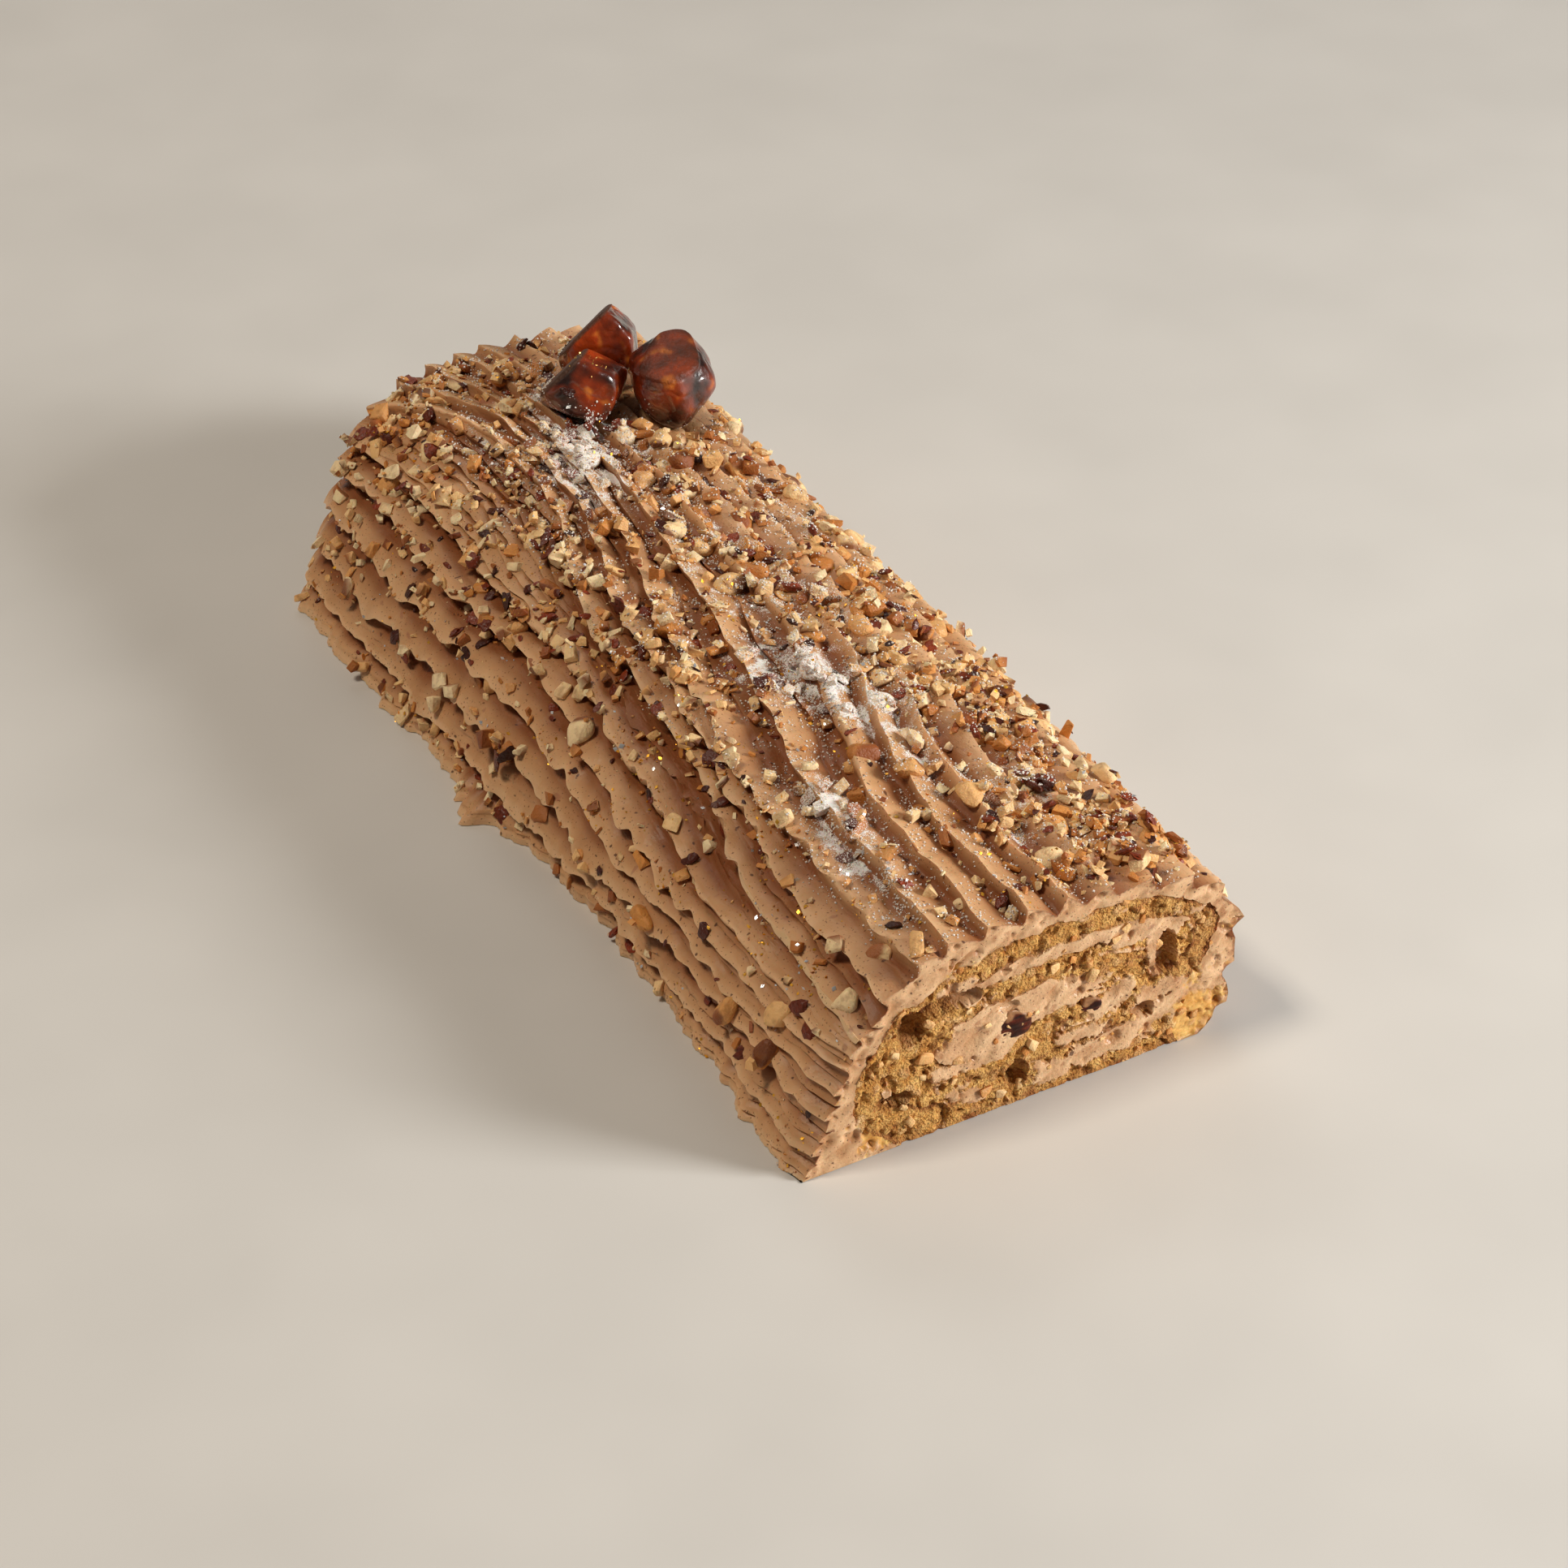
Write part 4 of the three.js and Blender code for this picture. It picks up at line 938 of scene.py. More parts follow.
def lobes(along, lip):
    """How far the torn edge of a lip hangs over along its stroke, about 0, in uneven lobes."""
    place = np.column_stack([along, lip * 13.7, np.zeros(len(along))])
    small = 0.45 * np.abs(mottle(place, 4.2, 40)) * smoothstep(mottle(place, 21, 42), -0.2, 0.5)
    return (np.abs(mottle(place, 11, 39)) + small - 0.35) * (1 + 0.7 * mottle(place, 26, 41))


def lip_strength(along, lip, pitch, way):
    """How much of a thin lip there is: none where they would be too close, or on the front top."""
    uneven = 0.72 + 0.5 * wander(along, 1.9 * lip + 2, 64)
    off_top = 1 - smoothstep(way, *BARE_TOP_FROM) * (1 - smoothstep(along, *BARE_TOP_ENDS))
    at_end = 1 - 0.9 * smoothstep(along, *LIPS_FADE_OUT)
    return np.clip(uneven, 0.12, 1.2) * smoothstep(pitch, 1.3, 2.4) * off_top * at_end


def dip(past):
    """How deep it is between two lips: slowly deeper, then steeply back up under the next lip."""
    back_up = 1 - np.clip((past - LIP_FURROW) / (1 - LIP_FURROW), 0, 1) ** 1.5
    return np.where(past < LIP_FURROW, (past / LIP_FURROW) ** 1.6, back_up)


def knife_work(along, ridge, edge, fade):
    """Fine relief, outward: torn lips, drag lines and small dents."""
    strokes = np.column_stack([along, ridge * 9, np.zeros(len(along))])
    torn = 0.35 * mottle(strokes * [1, 0.2, 1], 5.0, 31) + 0.2 * mottle(strokes, 2.4, 32)
    drag = 0.13 * mottle(strokes * [0.06, 1.0, 1], 1.9, 33)
    drag = drag + 0.08 * mottle(strokes * [0.1, 1, 1], 1.1, 34)
    dents = 0.26 * mottle(strokes, 8, 35) + 0.14 * mottle(strokes, 2.6, 36)
    return fade * (edge**3 * torn + (drag + dents) * (1 - 0.5 * edge))


def icing_place(along, ridge, fine=True):
    """Points of the iced surface in the section, its outline's normals and the way round."""
    below = np.minimum(np.floor(ridge), RIDGES - 1)
    across = ridge - below
    way = stroke_line(along, ridge)
    middle_way = stroke_line(along, below + 0.5)
    flat = shingling(along, middle_way)
    side, furrow = leaning(way), 0.5 - leaning(middle_way) * (FURROW_PLACE + SHINGLE_FURROW * flat)
    reach = np.where(across < furrow, furrow, 1 - furrow)
    rise = np.abs(across - furrow) / reach
    crest = rise ** (RIDGE_SHARPNESS - SHINGLE_FLATNESS * flat)
    fade = smoothstep(way, 0, FOOT_FADE) * smoothstep(WAY_ROUND - way, 0, FOOT_FADE)
    depth = fade * ridge_depth(along, below, way)
    nearest = np.where(across < furrow, below, below + 1)
    lip_depth = fade * ridge_depth(along, np.minimum(nearest, RIDGES - 1), way)
    swell = 0.6 * fade * wander(along, 2, 150)
    ragged = 0.35 * fade * crest * wander(along, nearest + 11, 17)
    turned = smoothstep(across, 1 / 3, 2 / 3)
    drift = fade * lerp(wander(along, below + 23, 58), wander(along, below + 24, 58), turned)
    lean = side * RIDGE_LEAN * lip_depth * crest
    drop = depth * (1 - crest)
    if fine:  # the thin lips between the ridges; a lip and the next one above it shape a point
        many = LIPS_IN_RIDGE[below.astype(int)]
        lip = np.minimum(np.floor(across * many), many - 1)
        past = across * many - lip
        lower = FIRST_LIP[below.astype(int)] + lip
        pitch = (stroke_line(along, below + 1) - stroke_line(along, below)) / many
        thin = many > 1
        on_left = 1 - smoothstep(way, *LEFT_FADES_UP)
        arch, halves = below == ARCH_RIDGE, across * 2 - np.floor(across * 2)
        before_arch = np.where(arch, 1 - smoothstep(along, *ARCH_START), 1)
        wide = on_left * smoothstep(along, *WIDE_START) * before_arch
        each, left_in = np.where(arch, many // 2, many), 1 - THIN_LEFT_OUT * wide
        mirrored = np.where(side > 0, 1 - past, past)
        steep = np.clip((mirrored - LIP_FURROW) / (1 - LIP_FURROW), 0, 1)
        gentle = np.clip(1 - mirrored / 0.6, 0, 1) ** 2
        up, down = np.where(side > 0, gentle, steep), np.where(side > 0, steep, gentle)
        near_foot = smoothstep(way, 0, 3) * smoothstep(WAY_ROUND - way, 0, FOOT_FADE)
        lobed = lerp(TOP_LOBES, SIDE_LOBES, on_left) * np.minimum(pitch / 5, 1)
        hang = []
        for above in (0, 1):
            main = (lip + above) % each == 0
            strength = lip_strength(along, lower + above, pitch, way) * thin
            strength = strength * np.where(main, 1, left_in)
            ragged_by = np.where(main, lerp(lobed, WIDE_LOBES, wide), lobed * left_in)
            hang.append(strength * LIP_HANG * pitch + ragged_by * lobes(along, lower + above))
        lean = lean * (1 - 0.4 * on_left) + side * near_foot * (down * hang[0] + up * hang[1])
        rounded = np.where(reach > 0.5, ROUNDED_TOP, 0)
        share_left = lerp(RIDGE_SHARE_LEFT, RIDGE_SHARE_WIDE, wide)
        drop = depth * lerp(1 - crest, (1 - rise) ** 2, rounded)
        drop = drop * lerp(1, share_left, on_left * thin)
        under_lip = strength * np.minimum(LIP_DEPTH_PER_PITCH * pitch, DEEPEST_LIP) * dip(past)
        drop = drop + near_foot * (under_lip + arch * wide * ARCH_DIP * dip(halves))
    place = np.clip(way + lean + drift, 0, WAY_ROUND)
    normal_x, normal_z = outline_normal(place)
    from_cut = np.minimum(along, LOG_LENGTH - along)
    rounding = ROUNDED_BY * (1 - smoothstep(from_cut, 0, ROUNDED_IN))
    rounding = rounding * (1 - smoothstep(way, *ROUNDED_WAYS))
    out = swell + ragged - rounding - drop
    if fine:
        edge = np.maximum(np.maximum(up, down), crest)
        out = out + knife_work(along, ridge, edge, near_foot) * smoothstep(from_cut, -1.5, 1.5)
    foot = (1 - np.clip(way / FOOT_HEIGHT, 0, 1)) ** 2
    middle, half_width, lump_reach = FOOT_LUMP
    off_middle = (along - middle) / half_width
    squeezed = lump_reach * np.exp(-(off_middle**4))
    if fine:
        on_foot = np.column_stack([along, np.full(len(along), 5.0), way / 2])
        torn = 1 + 0.5 * mottle(on_foot, 3.4, 47) - 0.35 * off_middle
        squeezed = squeezed * np.clip(torn, 0.3, 1.6)
        waves = 1.5 * wander(along, 31, 31) + 0.8 * wander(along, 32, 11)
        squeezed += waves * smoothstep(from_cut, 0, 12)
    x = outline_x(place) + normal_x * out
    x = x + foot * (smooth_through(*LEFT_FOOT)(along) - ICING_X[0] - squeezed)
    z = np.maximum(outline_z(place) + normal_z * out, 0)
    return x, z, normal_x, normal_z, way, drop


def on_log(along, x, z):
    """Points from their places in the section, drawn out as far as the slanting far cut."""
    return np.column_stack([x, along / LOG_LENGTH * far_cut_at(x, z), z])


def heaped(thickness, heaps, along, way):
    """A thickness with soft heaps added: each along, way round, its two spreads, thickness."""
    for middle, round_at, spread, spread_round, thick in heaps:
        off = ((along - middle) / spread) ** 2 + ((way - round_at) / spread_round) ** 2
        thickness = thickness + thick * np.exp(-off)
    return thickness


def sugar_at(along, way):
    """How thickly the sugar lies, from 0 to 1."""
    on_top = SUGAR_ON_TOP * smoothstep(way, *SUGAR_FROM) * (1 - smoothstep(way, *SUGAR_TO))
    patches = heaped(np.zeros(len(along)), SUGAR_PATCHES, along, way)
    return np.clip(patches + on_top, 0, THICKEST_SUGAR)


columns = []
for ridge, many in enumerate(LIPS_IN_RIDGE):
    if many > 1:
        shares = ARCH_POINTS if ridge == ARCH_RIDGE else LIP_POINTS
    else:
        shares = TOP_POINTS if ridge < FIRST_RIGHT_RIDGE else RIGHT_POINTS
    for lip in range(many):
        columns.extend(ridge + (lip + np.array(shares)) / many)
columns = np.array([*columns, RIDGES])
rows = np.linspace(0, LOG_LENGTH, ICING_ROWS + 1)
along, ridge = [part.ravel() for part in np.meshgrid(rows, columns, indexing="ij")]
skin_x, skin_z, _, _, skin_way, skin_drop = icing_place(along, ridge)
skin = on_log(along, skin_x, skin_z)
grid = np.arange(len(skin)).reshape(-1, len(columns))
quads = np.stack([grid[:-1, :-1], grid[:-1, 1:], grid[1:, 1:], grid[1:, :-1]], axis=-1)
quads = quads.reshape(-1, 4)
step_x, step_z = (np.gradient(part.reshape(grid.shape), axis=1) for part in (skin_x, skin_z))
slope = step_z / np.hypot(step_x + 1e-9, step_z + 1e-9)
skin_up = np.sqrt(np.clip(1 - slope.ravel() ** 2, 0, 1))

# The roll leaves a tunnel in the icing; its outline runs back from the right foot to the left.
first_off_plate = int((roll_turns <= stations[on_plate].max()).sum())
tunnel = np.vstack([
    [[TAIL_X, 0]],
    between(np.array([TAIL_X, 0.0]), inner_face[0]),
    inner_face[:1],
    between(inner_face[0], outer_face[sealed]),
    outer_face[sealed:first_off_plate - 1:-1],
    outer_face[first_off_plate - 1][None],
])
icing_points, icing_faces, tunnel_at = [skin], quads.tolist(), []
hue = 0.6 + 0.4 * mottle(skin, 14, 43) + 0.25 * mottle(skin, 4, 44)
# Painted shade darkens the furrows, and a painted highlight lightens the thin rims, by how far they
# lie under the ridges.
FURROW_SHADE, FURROW_SHADE_DROPS, RIM_HIGHLIGHT, RIM_HIGHLIGHT_DROPS = 0.86, (0.45, 3.2), 0.62, (0.05, 0.55)
furrow_shade = FURROW_SHADE * smoothstep(skin_drop, *FURROW_SHADE_DROPS)
rim_light = RIM_HIGHLIGHT * (1 - smoothstep(skin_drop, *RIM_HIGHLIGHT_DROPS))
icing_colours = lerp(shade(CREAM_DEEP, CREAM_LIGHT, hue), srgb(CREAM_IN_SHADE), furrow_shade[:, None])
icing_colours = [lerp(icing_colours, srgb(CREAM_PALE_HIGHLIGHT), rim_light[:, None])]
icing_cream = [np.ones(len(skin))]
for is_far in (False, True):
    ring_at = grid[-1 if is_far else 0]
    ring = skin[ring_at][:, [0, 2]]
    keep = np.append(np.linalg.norm(np.diff(ring, axis=0), axis=1) > 1e-4, True)
    ring, ring_at = ring[keep], ring_at[keep]
    flat, faces, rim = cut_face(np.vstack([ring, tunnel]), ICING_CUT_GRAIN)
    from_ring = distance_from(flat, ring)
    share = smoothstep(from_ring, 0.2, 2.6)
    share[rim[len(ring):]] = 1
    share[rim[:len(ring)]] = 0
    face = kneaded(flat, is_far, share)
    back, colours, cream = sawn(face, np.full(len(face), WELL_INSIDE), is_far, 1)
    back *= smoothstep(from_ring, 0, 1.5)
    y = far_cut_at(face[:, 0], face[:, 1]) - back if is_far else back
    place_of = np.arange(len(flat)) + sum(map(len, icing_points))
    place_of[rim[:len(ring)]] = ring_at
    icing_points.append(np.column_stack([face[:, 0], y, face[:, 1]]))
    icing_colours.append(colours)
    icing_cream.append(cream)
    cap = place_of[faces]
    icing_faces.extend((cap[:, ::-1] if is_far else cap).tolist())
    tunnel_at.append(place_of[rim[len(ring):]])
front_rim, far_rim = tunnel_at
walls = np.column_stack([front_rim[:-1], far_rim[:-1], far_rim[1:], front_rim[1:]])
icing_faces.extend(walls.tolist())
icing_faces.append([front_rim[-1], *grid[:, 0].tolist(), far_rim[-1]])
icing_faces.append([far_rim[0], *grid[::-1, -1].tolist(), front_rim[0]])
icing_points = np.vstack(icing_points)

dust = np.zeros(len(icing_points))
patchy = 0.75 + 0.5 * mottle(skin, 5, 45) + 0.35 * mottle(skin, 2, 46)
lying_on = smoothstep(skin_up, 0.35, 0.8)
dust[:len(skin)] = sugar_at(along, skin_way) * np.clip(patchy, 0, 1.4) * lying_on


def buttercream_icing():
    """Nut buttercream: a soft sheen, dark specks of ground nut and the drag of the knife."""
    material, shader, place = foodstuff("icing buttercream", Roughness=0.44, Subsurface_Weight=0.2,
                                        Subsurface_Scale=0.002, Specular_IOR_Level=0.35)
    cream, tint = attribute(material, "cream", "Fac"), attribute(material, "tint", "Color")
    cloud = grains(material, place, 9, 0.35, 0.68, 3)
    colour = tinted(material, tint, cloud, tinted(material, tint, 0.16, (0.36, 0.16, 0.06, 1)))
    colour = tinted(material, tint, cream, nut_specks(material, place, colour))
    strokes = node(material, "TexCoord").outputs["UV"]
    drag = node(material, "TexNoise", {"Vector": strokes, "Scale": 1.0, "Detail": 3.0})
    both = {0: grains(material, place, 0.8, 0.3, 0.7, 3), 1: 0.3, 2: drag.outputs["Fac"]}
    fine = node(material, "Math", both, operation="MULTIPLY_ADD")
    return finish_material(material, shader, sugared(material, colour), fine.outputs[0], 0.2)


icing = make_piece("icing_strokes", icing_points, icing_faces, buttercream_icing(),
                   np.vstack(icing_colours), 75, dust=dust, cream=np.concatenate(icing_cream))
# The knife's drag runs along the strokes, and straight across both cuts.
stroke_uv = np.column_stack([icing_points[:, 0] / 7, icing_points[:, 2] / 0.7])
stroke_uv[:len(skin)] = np.column_stack([along / 16, skin_way / 1.1])
corner_at = np.zeros(len(icing.data.loops), int)
icing.data.loops.foreach_get("vertex_index", corner_at)
icing.data.uv_layers.new(name="strokes").data.foreach_set("uv", stroke_uv[corner_at].ravel())
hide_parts("icing")

# ---------------------------------------------------------------- glazed chestnuts
# Three pieces of candied chestnut, 18 to 25 mm, dipped in hot syrup and set on the far end. The
# syrup sets to a clear, dark amber glaze over their wrinkled, broken faces.

CHESTNUT_TURN, CHESTNUT_SOFTNESS = np.radians(-29.3), 9
GLAZED_CHESTNUTS = {
    "glazed_chestnut_left": ([63.5, 235.5, 60.5], [
        [-0.7, 0.3, 0.65, 6.6],
        [0.45, 0.2, 0.87, 7.8],
        [0.1, -0.95, 0.25, 8.8],
        [0.95, -0.1, 0.2, 10.5],
        [0.85, -0.2, -0.5, 10.2],
        [-0.95, -0.2, -0.1, 12.4],
        [-0.4, -0.6, -0.7, 10],
        [0, 1, 0.1, 8.8],
        [0, 0, -1, 8.5],
    ]),
    "glazed_chestnut_back": ([77, 251.5, 61.5], [
        [-0.7, 0.3, 0.65, 5.8],
        [0.65, 0.2, 0.73, 8.4],
        [0, -0.95, 0.3, 8.6],
        [0.95, 0, 0.1, 9.2],
        [0.6, -0.2, -0.75, 10],
        [-0.9, -0.3, 0, 12],
        [0, 1, 0, 8],
        [0, 0, -1, 9.5],
    ]),
    "glazed_chestnut_right": ([83.5, 225.5, 60.5], [
        [-0.05, -0.25, 0.97, 9.2],
        [0.55, -0.8, 0.1, 9.8],
        [-0.4, -0.9, -0.15, 9.8],
        [-0.95, -0.2, -0.1, 10.4],
        [0.92, 0.35, -0.1, 11.8],
        [0.75, -0.3, -0.6, 11],
        [-0.6, -0.3, -0.75, 11.6],
        [-0.6, 0, 0.8, 10.6],
        [0.75, 0, 0.65, 11],
        [0, 1, 0, 9.8],
        [0, 0, -1, 12],
    ]),
}
AMBER, GLOW, DARK_SYRUP, BROKEN = (178, 62, 10), (240, 140, 50), (30, 6, 2), (84, 56, 42)
# Which way each broken face looks, where it starts and is full, and how much it shows.
BROKEN_WAY, TOP_WAY = np.array([-0.7, 0.3, 0.65]), np.array([-0.05, -0.25, 0.97])
BREAK_STARTS, BREAK_FULL, BREAK_SHOWS, TOP_BREAK_SHOWS = 0.78, 0.86, 0.9, 0.4


def turned(points, angle):
    across, aside = np.cos(angle), np.sin(angle)
    return points @ np.array([[across, aside, 0], [-aside, across, 0], [0, 0, 1]])


glaze = candied_chestnut("glazed chestnut", 6, 0.85)
# Where a piece broke after it was glazed it is dull and brown.
broken_stuff = veined("broken chestnut", (1.2, 0.3, 0.7), 0.35, (0.03, 0.012, 0.006), 0.2,
                      Roughness=0.5, Specular_IOR_Level=0.3)
chestnut_ways, chestnut_faces = ball(6)
chestnut_surfaces = []
for name, (middle, faces) in GLAZED_CHESTNUTS.items():
    points = chestnut_ways * lump(chestnut_ways, faces, CHESTNUT_SOFTNESS)[:, None]
    is_right = name.endswith("right")
    place, reached = points + middle, points @ unit(TOP_WAY if is_right else BROKEN_WAY)
    broken = smoothstep(reached, BREAK_STARTS * reached.max(), BREAK_FULL * reached.max())
    folds = 0.5 * mottle(place, 7, 51) + 0.2 * mottle(place, 3, 52)
    creases = 1 - smoothstep(np.abs(mottle(place, 9, 50)), 0, 0.13)
    wrinkled = (0.5 - folds + 0.12 * creases) * (1 - 0.7 * broken) + 0.1
    points -= chestnut_ways * wrinkled.clip(0)[:, None]
    blotch = mottle(place, 8, 53) + 0.35 * mottle(place, 2.6, 54) + 0.5 * folds
    colour = shade(DARK_SYRUP, AMBER, 0.45 + 0.85 * blotch)
    # Orange patches of painted glow, as of light shining through the glaze.
    glow = smoothstep(mottle(place, 5, 55) + 0.35 * mottle(place, 1.8, 56), 0.2, 0.75)
    colour = lerp(colour, srgb(GLOW), 0.9 * (glow * smoothstep(blotch, -0.1, 0.4))[:, None])
    # Each piece darkens to the dark syrup tone towards its bottom.
    darker_below = 0.85 * smoothstep(-points[:, 2] + 1.5 * mottle(place, 4, 57), 3, 8)
    colour = lerp(colour, srgb(DARK_SYRUP), darker_below[:, None])
    shows = TOP_BREAK_SHOWS if is_right else BREAK_SHOWS
    colour = lerp(colour, srgb(BROKEN), shows * broken[:, None])
    placed = turned(points, CHESTNUT_TURN) + middle
    chestnut = make_piece(name + "_looks", placed, chestnut_faces.tolist(), glaze, colour, 80)
    chestnut.data.materials.append(broken_stuff)
    is_dull = (broken[chestnut_faces].mean(axis=1) > 0.5).astype(int)
    chestnut.data.polygons.foreach_set("material_index", is_dull)
    chestnut_surfaces.append((placed, chestnut_faces))
    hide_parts(name)

# ---------------------------------------------------------------- chopped nuts
# Roasted hazelnuts, chopped to anything from grit of 0.5 mm to bits of 9 mm and strewn over the
# soft icing, which holds them. Cut faces are cream to golden, and the outsides toasted brown.

NUT_SEED, NUT_DRAWS, NUT_LIMIT, NUT_SIZES = 41, 1500, 80, (4.6, 7.4)
NUT_FLATNESS, NUT_SUNK, NUT_SOFTNESS, NUT_FACES = 0.62, 0.12, 13, 9
# Where the skin's edge runs on a nut that keeps much of it, a cap, or none.
SKIN_EDGES = [[0.3, 0.5], [0.6, 0.8], [2, 3]]
NUT_SPACING, FALL, BIT_CLUSTERS, THICKEST_BITS = 0.45, 8.0, 1.1, 1.3
CHESTNUT_CLEAR, CHESTNUT_HALF = 13, 10.5
CHESTNUT_SPOTS = np.array([middle for middle, _ in GLAZED_CHESTNUTS.values()])
# Bits of chopped nut, largest first: how many, sizes, share with skin, how far tipped.
NUT_BITS = [
    [660, 4.2, 8.8, 0.42, 0.3],
    [780, 3.0, 6.2, 0.35, 0.45],
    [1050, 1.5, 3.4, 0.25, 0.7],
    [1900, 0.5, 1.4, 0.15, 0.9],
]
# The first rows of bits are a piece each, and the rest lie together in fine_chopped_nuts.
NUT_PIECES = ["chopped_nuts", "smaller_chopped_nuts"]
# Shapes they break into: across, along, up; and the share of each.
NUT_SHAPES = np.array([[1, 0.86, 0.74], [1.05, 0.72, 0.56], [1.35, 0.62, 0.4], [1.15, 0.92, 0.34]])
NUT_SHAPE_SHARES = [0.24, 0.3, 0.24, 0.22]
NUT_DRAWN, SUGAR_ON_NUTS = 70000, 0.8
# Where they lie in drifts: along, way round, spread along, spread round, thickness.
NUT_DRIFTS = [
    [20, 113, 24, 15, 1.3],
    [44, 124, 60, 14, 0.6],
    [45, 78, 34, 16, 0.1],
    [80, 60, 40, 14, 0.2],
    [110, 84, 26, 12, 0.16],
    [92, 122, 40, 16, 0.5],
    [190, 112, 50, 14, 0.4],
    [150, 62, 44, 14, 0.36],
    [185, 50, 40, 16, 0.34],
    [236, 60, 34, 24, 0.44],
    [260, 76, 12, 34, 0.6],
    [246, 38, 26, 14, 0.16],
    [226, 88, 16, 12, 0.7],
    [150, 5, 90, 6, 0.24],
    [190, 26, 60, 12, 0.1],
]


def seeded_draws(seed, count):
    """Numbers from 0 to 1, drawn as the solids draw theirs."""
    state, draws = seed, []
    for _ in range(count):
        state = (state * 1664525 + 1013904223) & 0xFFFFFFFF
        draws.append(state / 4294967296)
    return draws


def nut_cover(along, way):
    """How thickly the nuts lie, from 0 to 1."""
    wavy = way + 9 * wander(along, 7, 90)
    shoulder = 0.8 * smoothstep(wavy, 74, 106) * (1 - 0.6 * smoothstep(way, 145, 170))
    far_end = 0.55 * smoothstep(along, 248, 268) * smoothstep(way, 40, 70)
    middle = 0.3 * smoothstep(along, 90, 125) * smoothstep(way, 52, 70)
    return np.clip(0.07 + shoulder + far_end + middle, 0, 1)


def large_nuts():
    """The largest nuts, drawn as the solids' are: place, outward way, size, turn and shape."""
    draws = np.array(seeded_draws(NUT_SEED, NUT_DRAWS * 6)).reshape(-1, 6)
    along, ridge = lerp(5, LOG_LENGTH - 10, draws[:, 0]), lerp(0.9, RIDGES - 0.9, draws[:, 1])
    size, turn = lerp(*NUT_SIZES, draws[:, 2] ** 2), draws[:, 3] * 2 * np.pi
    kept = draws[:, 4] <= nut_cover(along, stroke_line(along, ridge))
    x, z, normal_x, normal_z, way, _ = icing_place(along, ridge, fine=False)
    outward = np.column_stack([normal_x, 0 * x, normal_z])
    spots = on_log(along, x, z) + outward * (NUT_SUNK * size)[:, None]
    shape = (draws[:, 5] * 1e6).astype(int)
    nuts = []
    for i in np.flatnonzero(kept):
        near = any(np.linalg.norm(nut[0] - spots[i]) < NUT_SPACING * (nut[2] + size[i])
                   for nut in nuts)
        apart = np.linalg.norm(CHESTNUT_SPOTS - spots[i], axis=1).min()
        if not near and apart >= CHESTNUT_CLEAR + size[i] / 2:
            nuts.append((spots[i], outward[i], size[i], turn[i], shape[i], way[i], along[i]))
    return sorted(nuts, key=lambda nut: -nut[2])[:NUT_LIMIT]


def nut_faces(shape):
    """Cut faces of one nut, and its breadth, from the nut's own draws."""
    draws = seeded_draws(shape, NUT_FACES * 3 + 1)
    faces = []
    for i in range(NUT_FACES):
        height = lerp(-1, 1, (i + draws[3 * i]) / NUT_FACES)
        round_at, radius = draws[3 * i + 1] * 2 * np.pi, np.sqrt(1 - height * height)
        faces.append([radius * np.cos(round_at), radius * np.sin(round_at), height,
                      lerp(0.72, 1, draws[3 * i + 2])])
    return faces, lerp(0.65, 0.95, draws[-1])


def set_down(points, turn, outward, spot):
    """Turns a bit about its own axis, tips it onto the surface and puts it there."""
    tip = Vector((0, 0, 1)).rotation_difference(Vector(outward))
    return turned(points, turn) @ np.array(tip.to_matrix()).T + spot


def landing(*surfaces):
    """What falling bits land on: surfaces, each its points and faces."""
    points, faces, count = [], [], 0
    for surface_points, surface_faces in surfaces:
        points.extend(surface_points.tolist())
        faces.extend((np.asarray(surface_faces) + count).tolist())
        count += len(surface_points)
    return BVHTree.FromPolygons(points, faces)


def landed(tree, spots, ups):
    """Where bits that fall on the log come to lie, and which way is up for them there."""
    found = []
    for spot, up in zip(spots, ups):
        hit, normal, _, _ = tree.ray_cast(Vector(spot + FALL * up), Vector(-up), 1.5 * FALL)
        if hit is None:
            hit, normal, _, _ = tree.find_nearest(Vector(spot))
        facing = np.array(normal) * np.sign(normal.dot(Vector(up)))
        found.append([*hit, *(up + 0.8 * facing)])
    found = np.array(found)
    return found[:, :3], unit(found[:, 3:])


def drawn_places(count, cover, clustering, clear=0.0):
    """Places on the icing, drawn as thick as they lie there: along, way, spots and ways up."""
    along = dice.uniform(1.5, LOG_LENGTH - 1.5, NUT_DRAWN)
    ridge = dice.uniform(0.25, RIDGES - 0.25, NUT_DRAWN)
    way = stroke_line(along, ridge)
    room = stroke_line(along, ridge + 0.2) - stroke_line(along, ridge - 0.2)
    place = np.column_stack([along, way, 0 * way])
    patches = mottle(place, 13, 63) + 0.6 * mottle(place, 4.5, 64)
    x, z, normal_x, normal_z, *_ = icing_place(along, ridge, fine=False)
    spots = on_log(along, x, z)
    apart = np.linalg.norm(CHESTNUT_SPOTS[:, :2] - spots[:, None, :2], axis=2).min(axis=1)
    chance = room * cover(along, way) * np.clip(1 + clustering * patches, 0.01, None)
    chance = chance * (apart >= clear)
    kept = dice.choice(NUT_DRAWN, count, replace=False, p=chance / chance.sum())
    ups = np.column_stack([normal_x, 0 * x, normal_z])
    return along[kept], way[kept], spots[kept], ups[kept]


def bit_cover(along, way):
    """How much of the icing the chopped nuts hide."""
    top = smoothstep(way + 5 * wander(along, 7, 90), 62, 86) * (1 - smoothstep(way, 126, 152))
    even = 0.05 + 0.2 * top * smoothstep(along, 62, 112) + 0.1 * smoothstep(way, 126, 152)
    return np.minimum(heaped(even, NUT_DRIFTS, along, way), THICKEST_BITS)


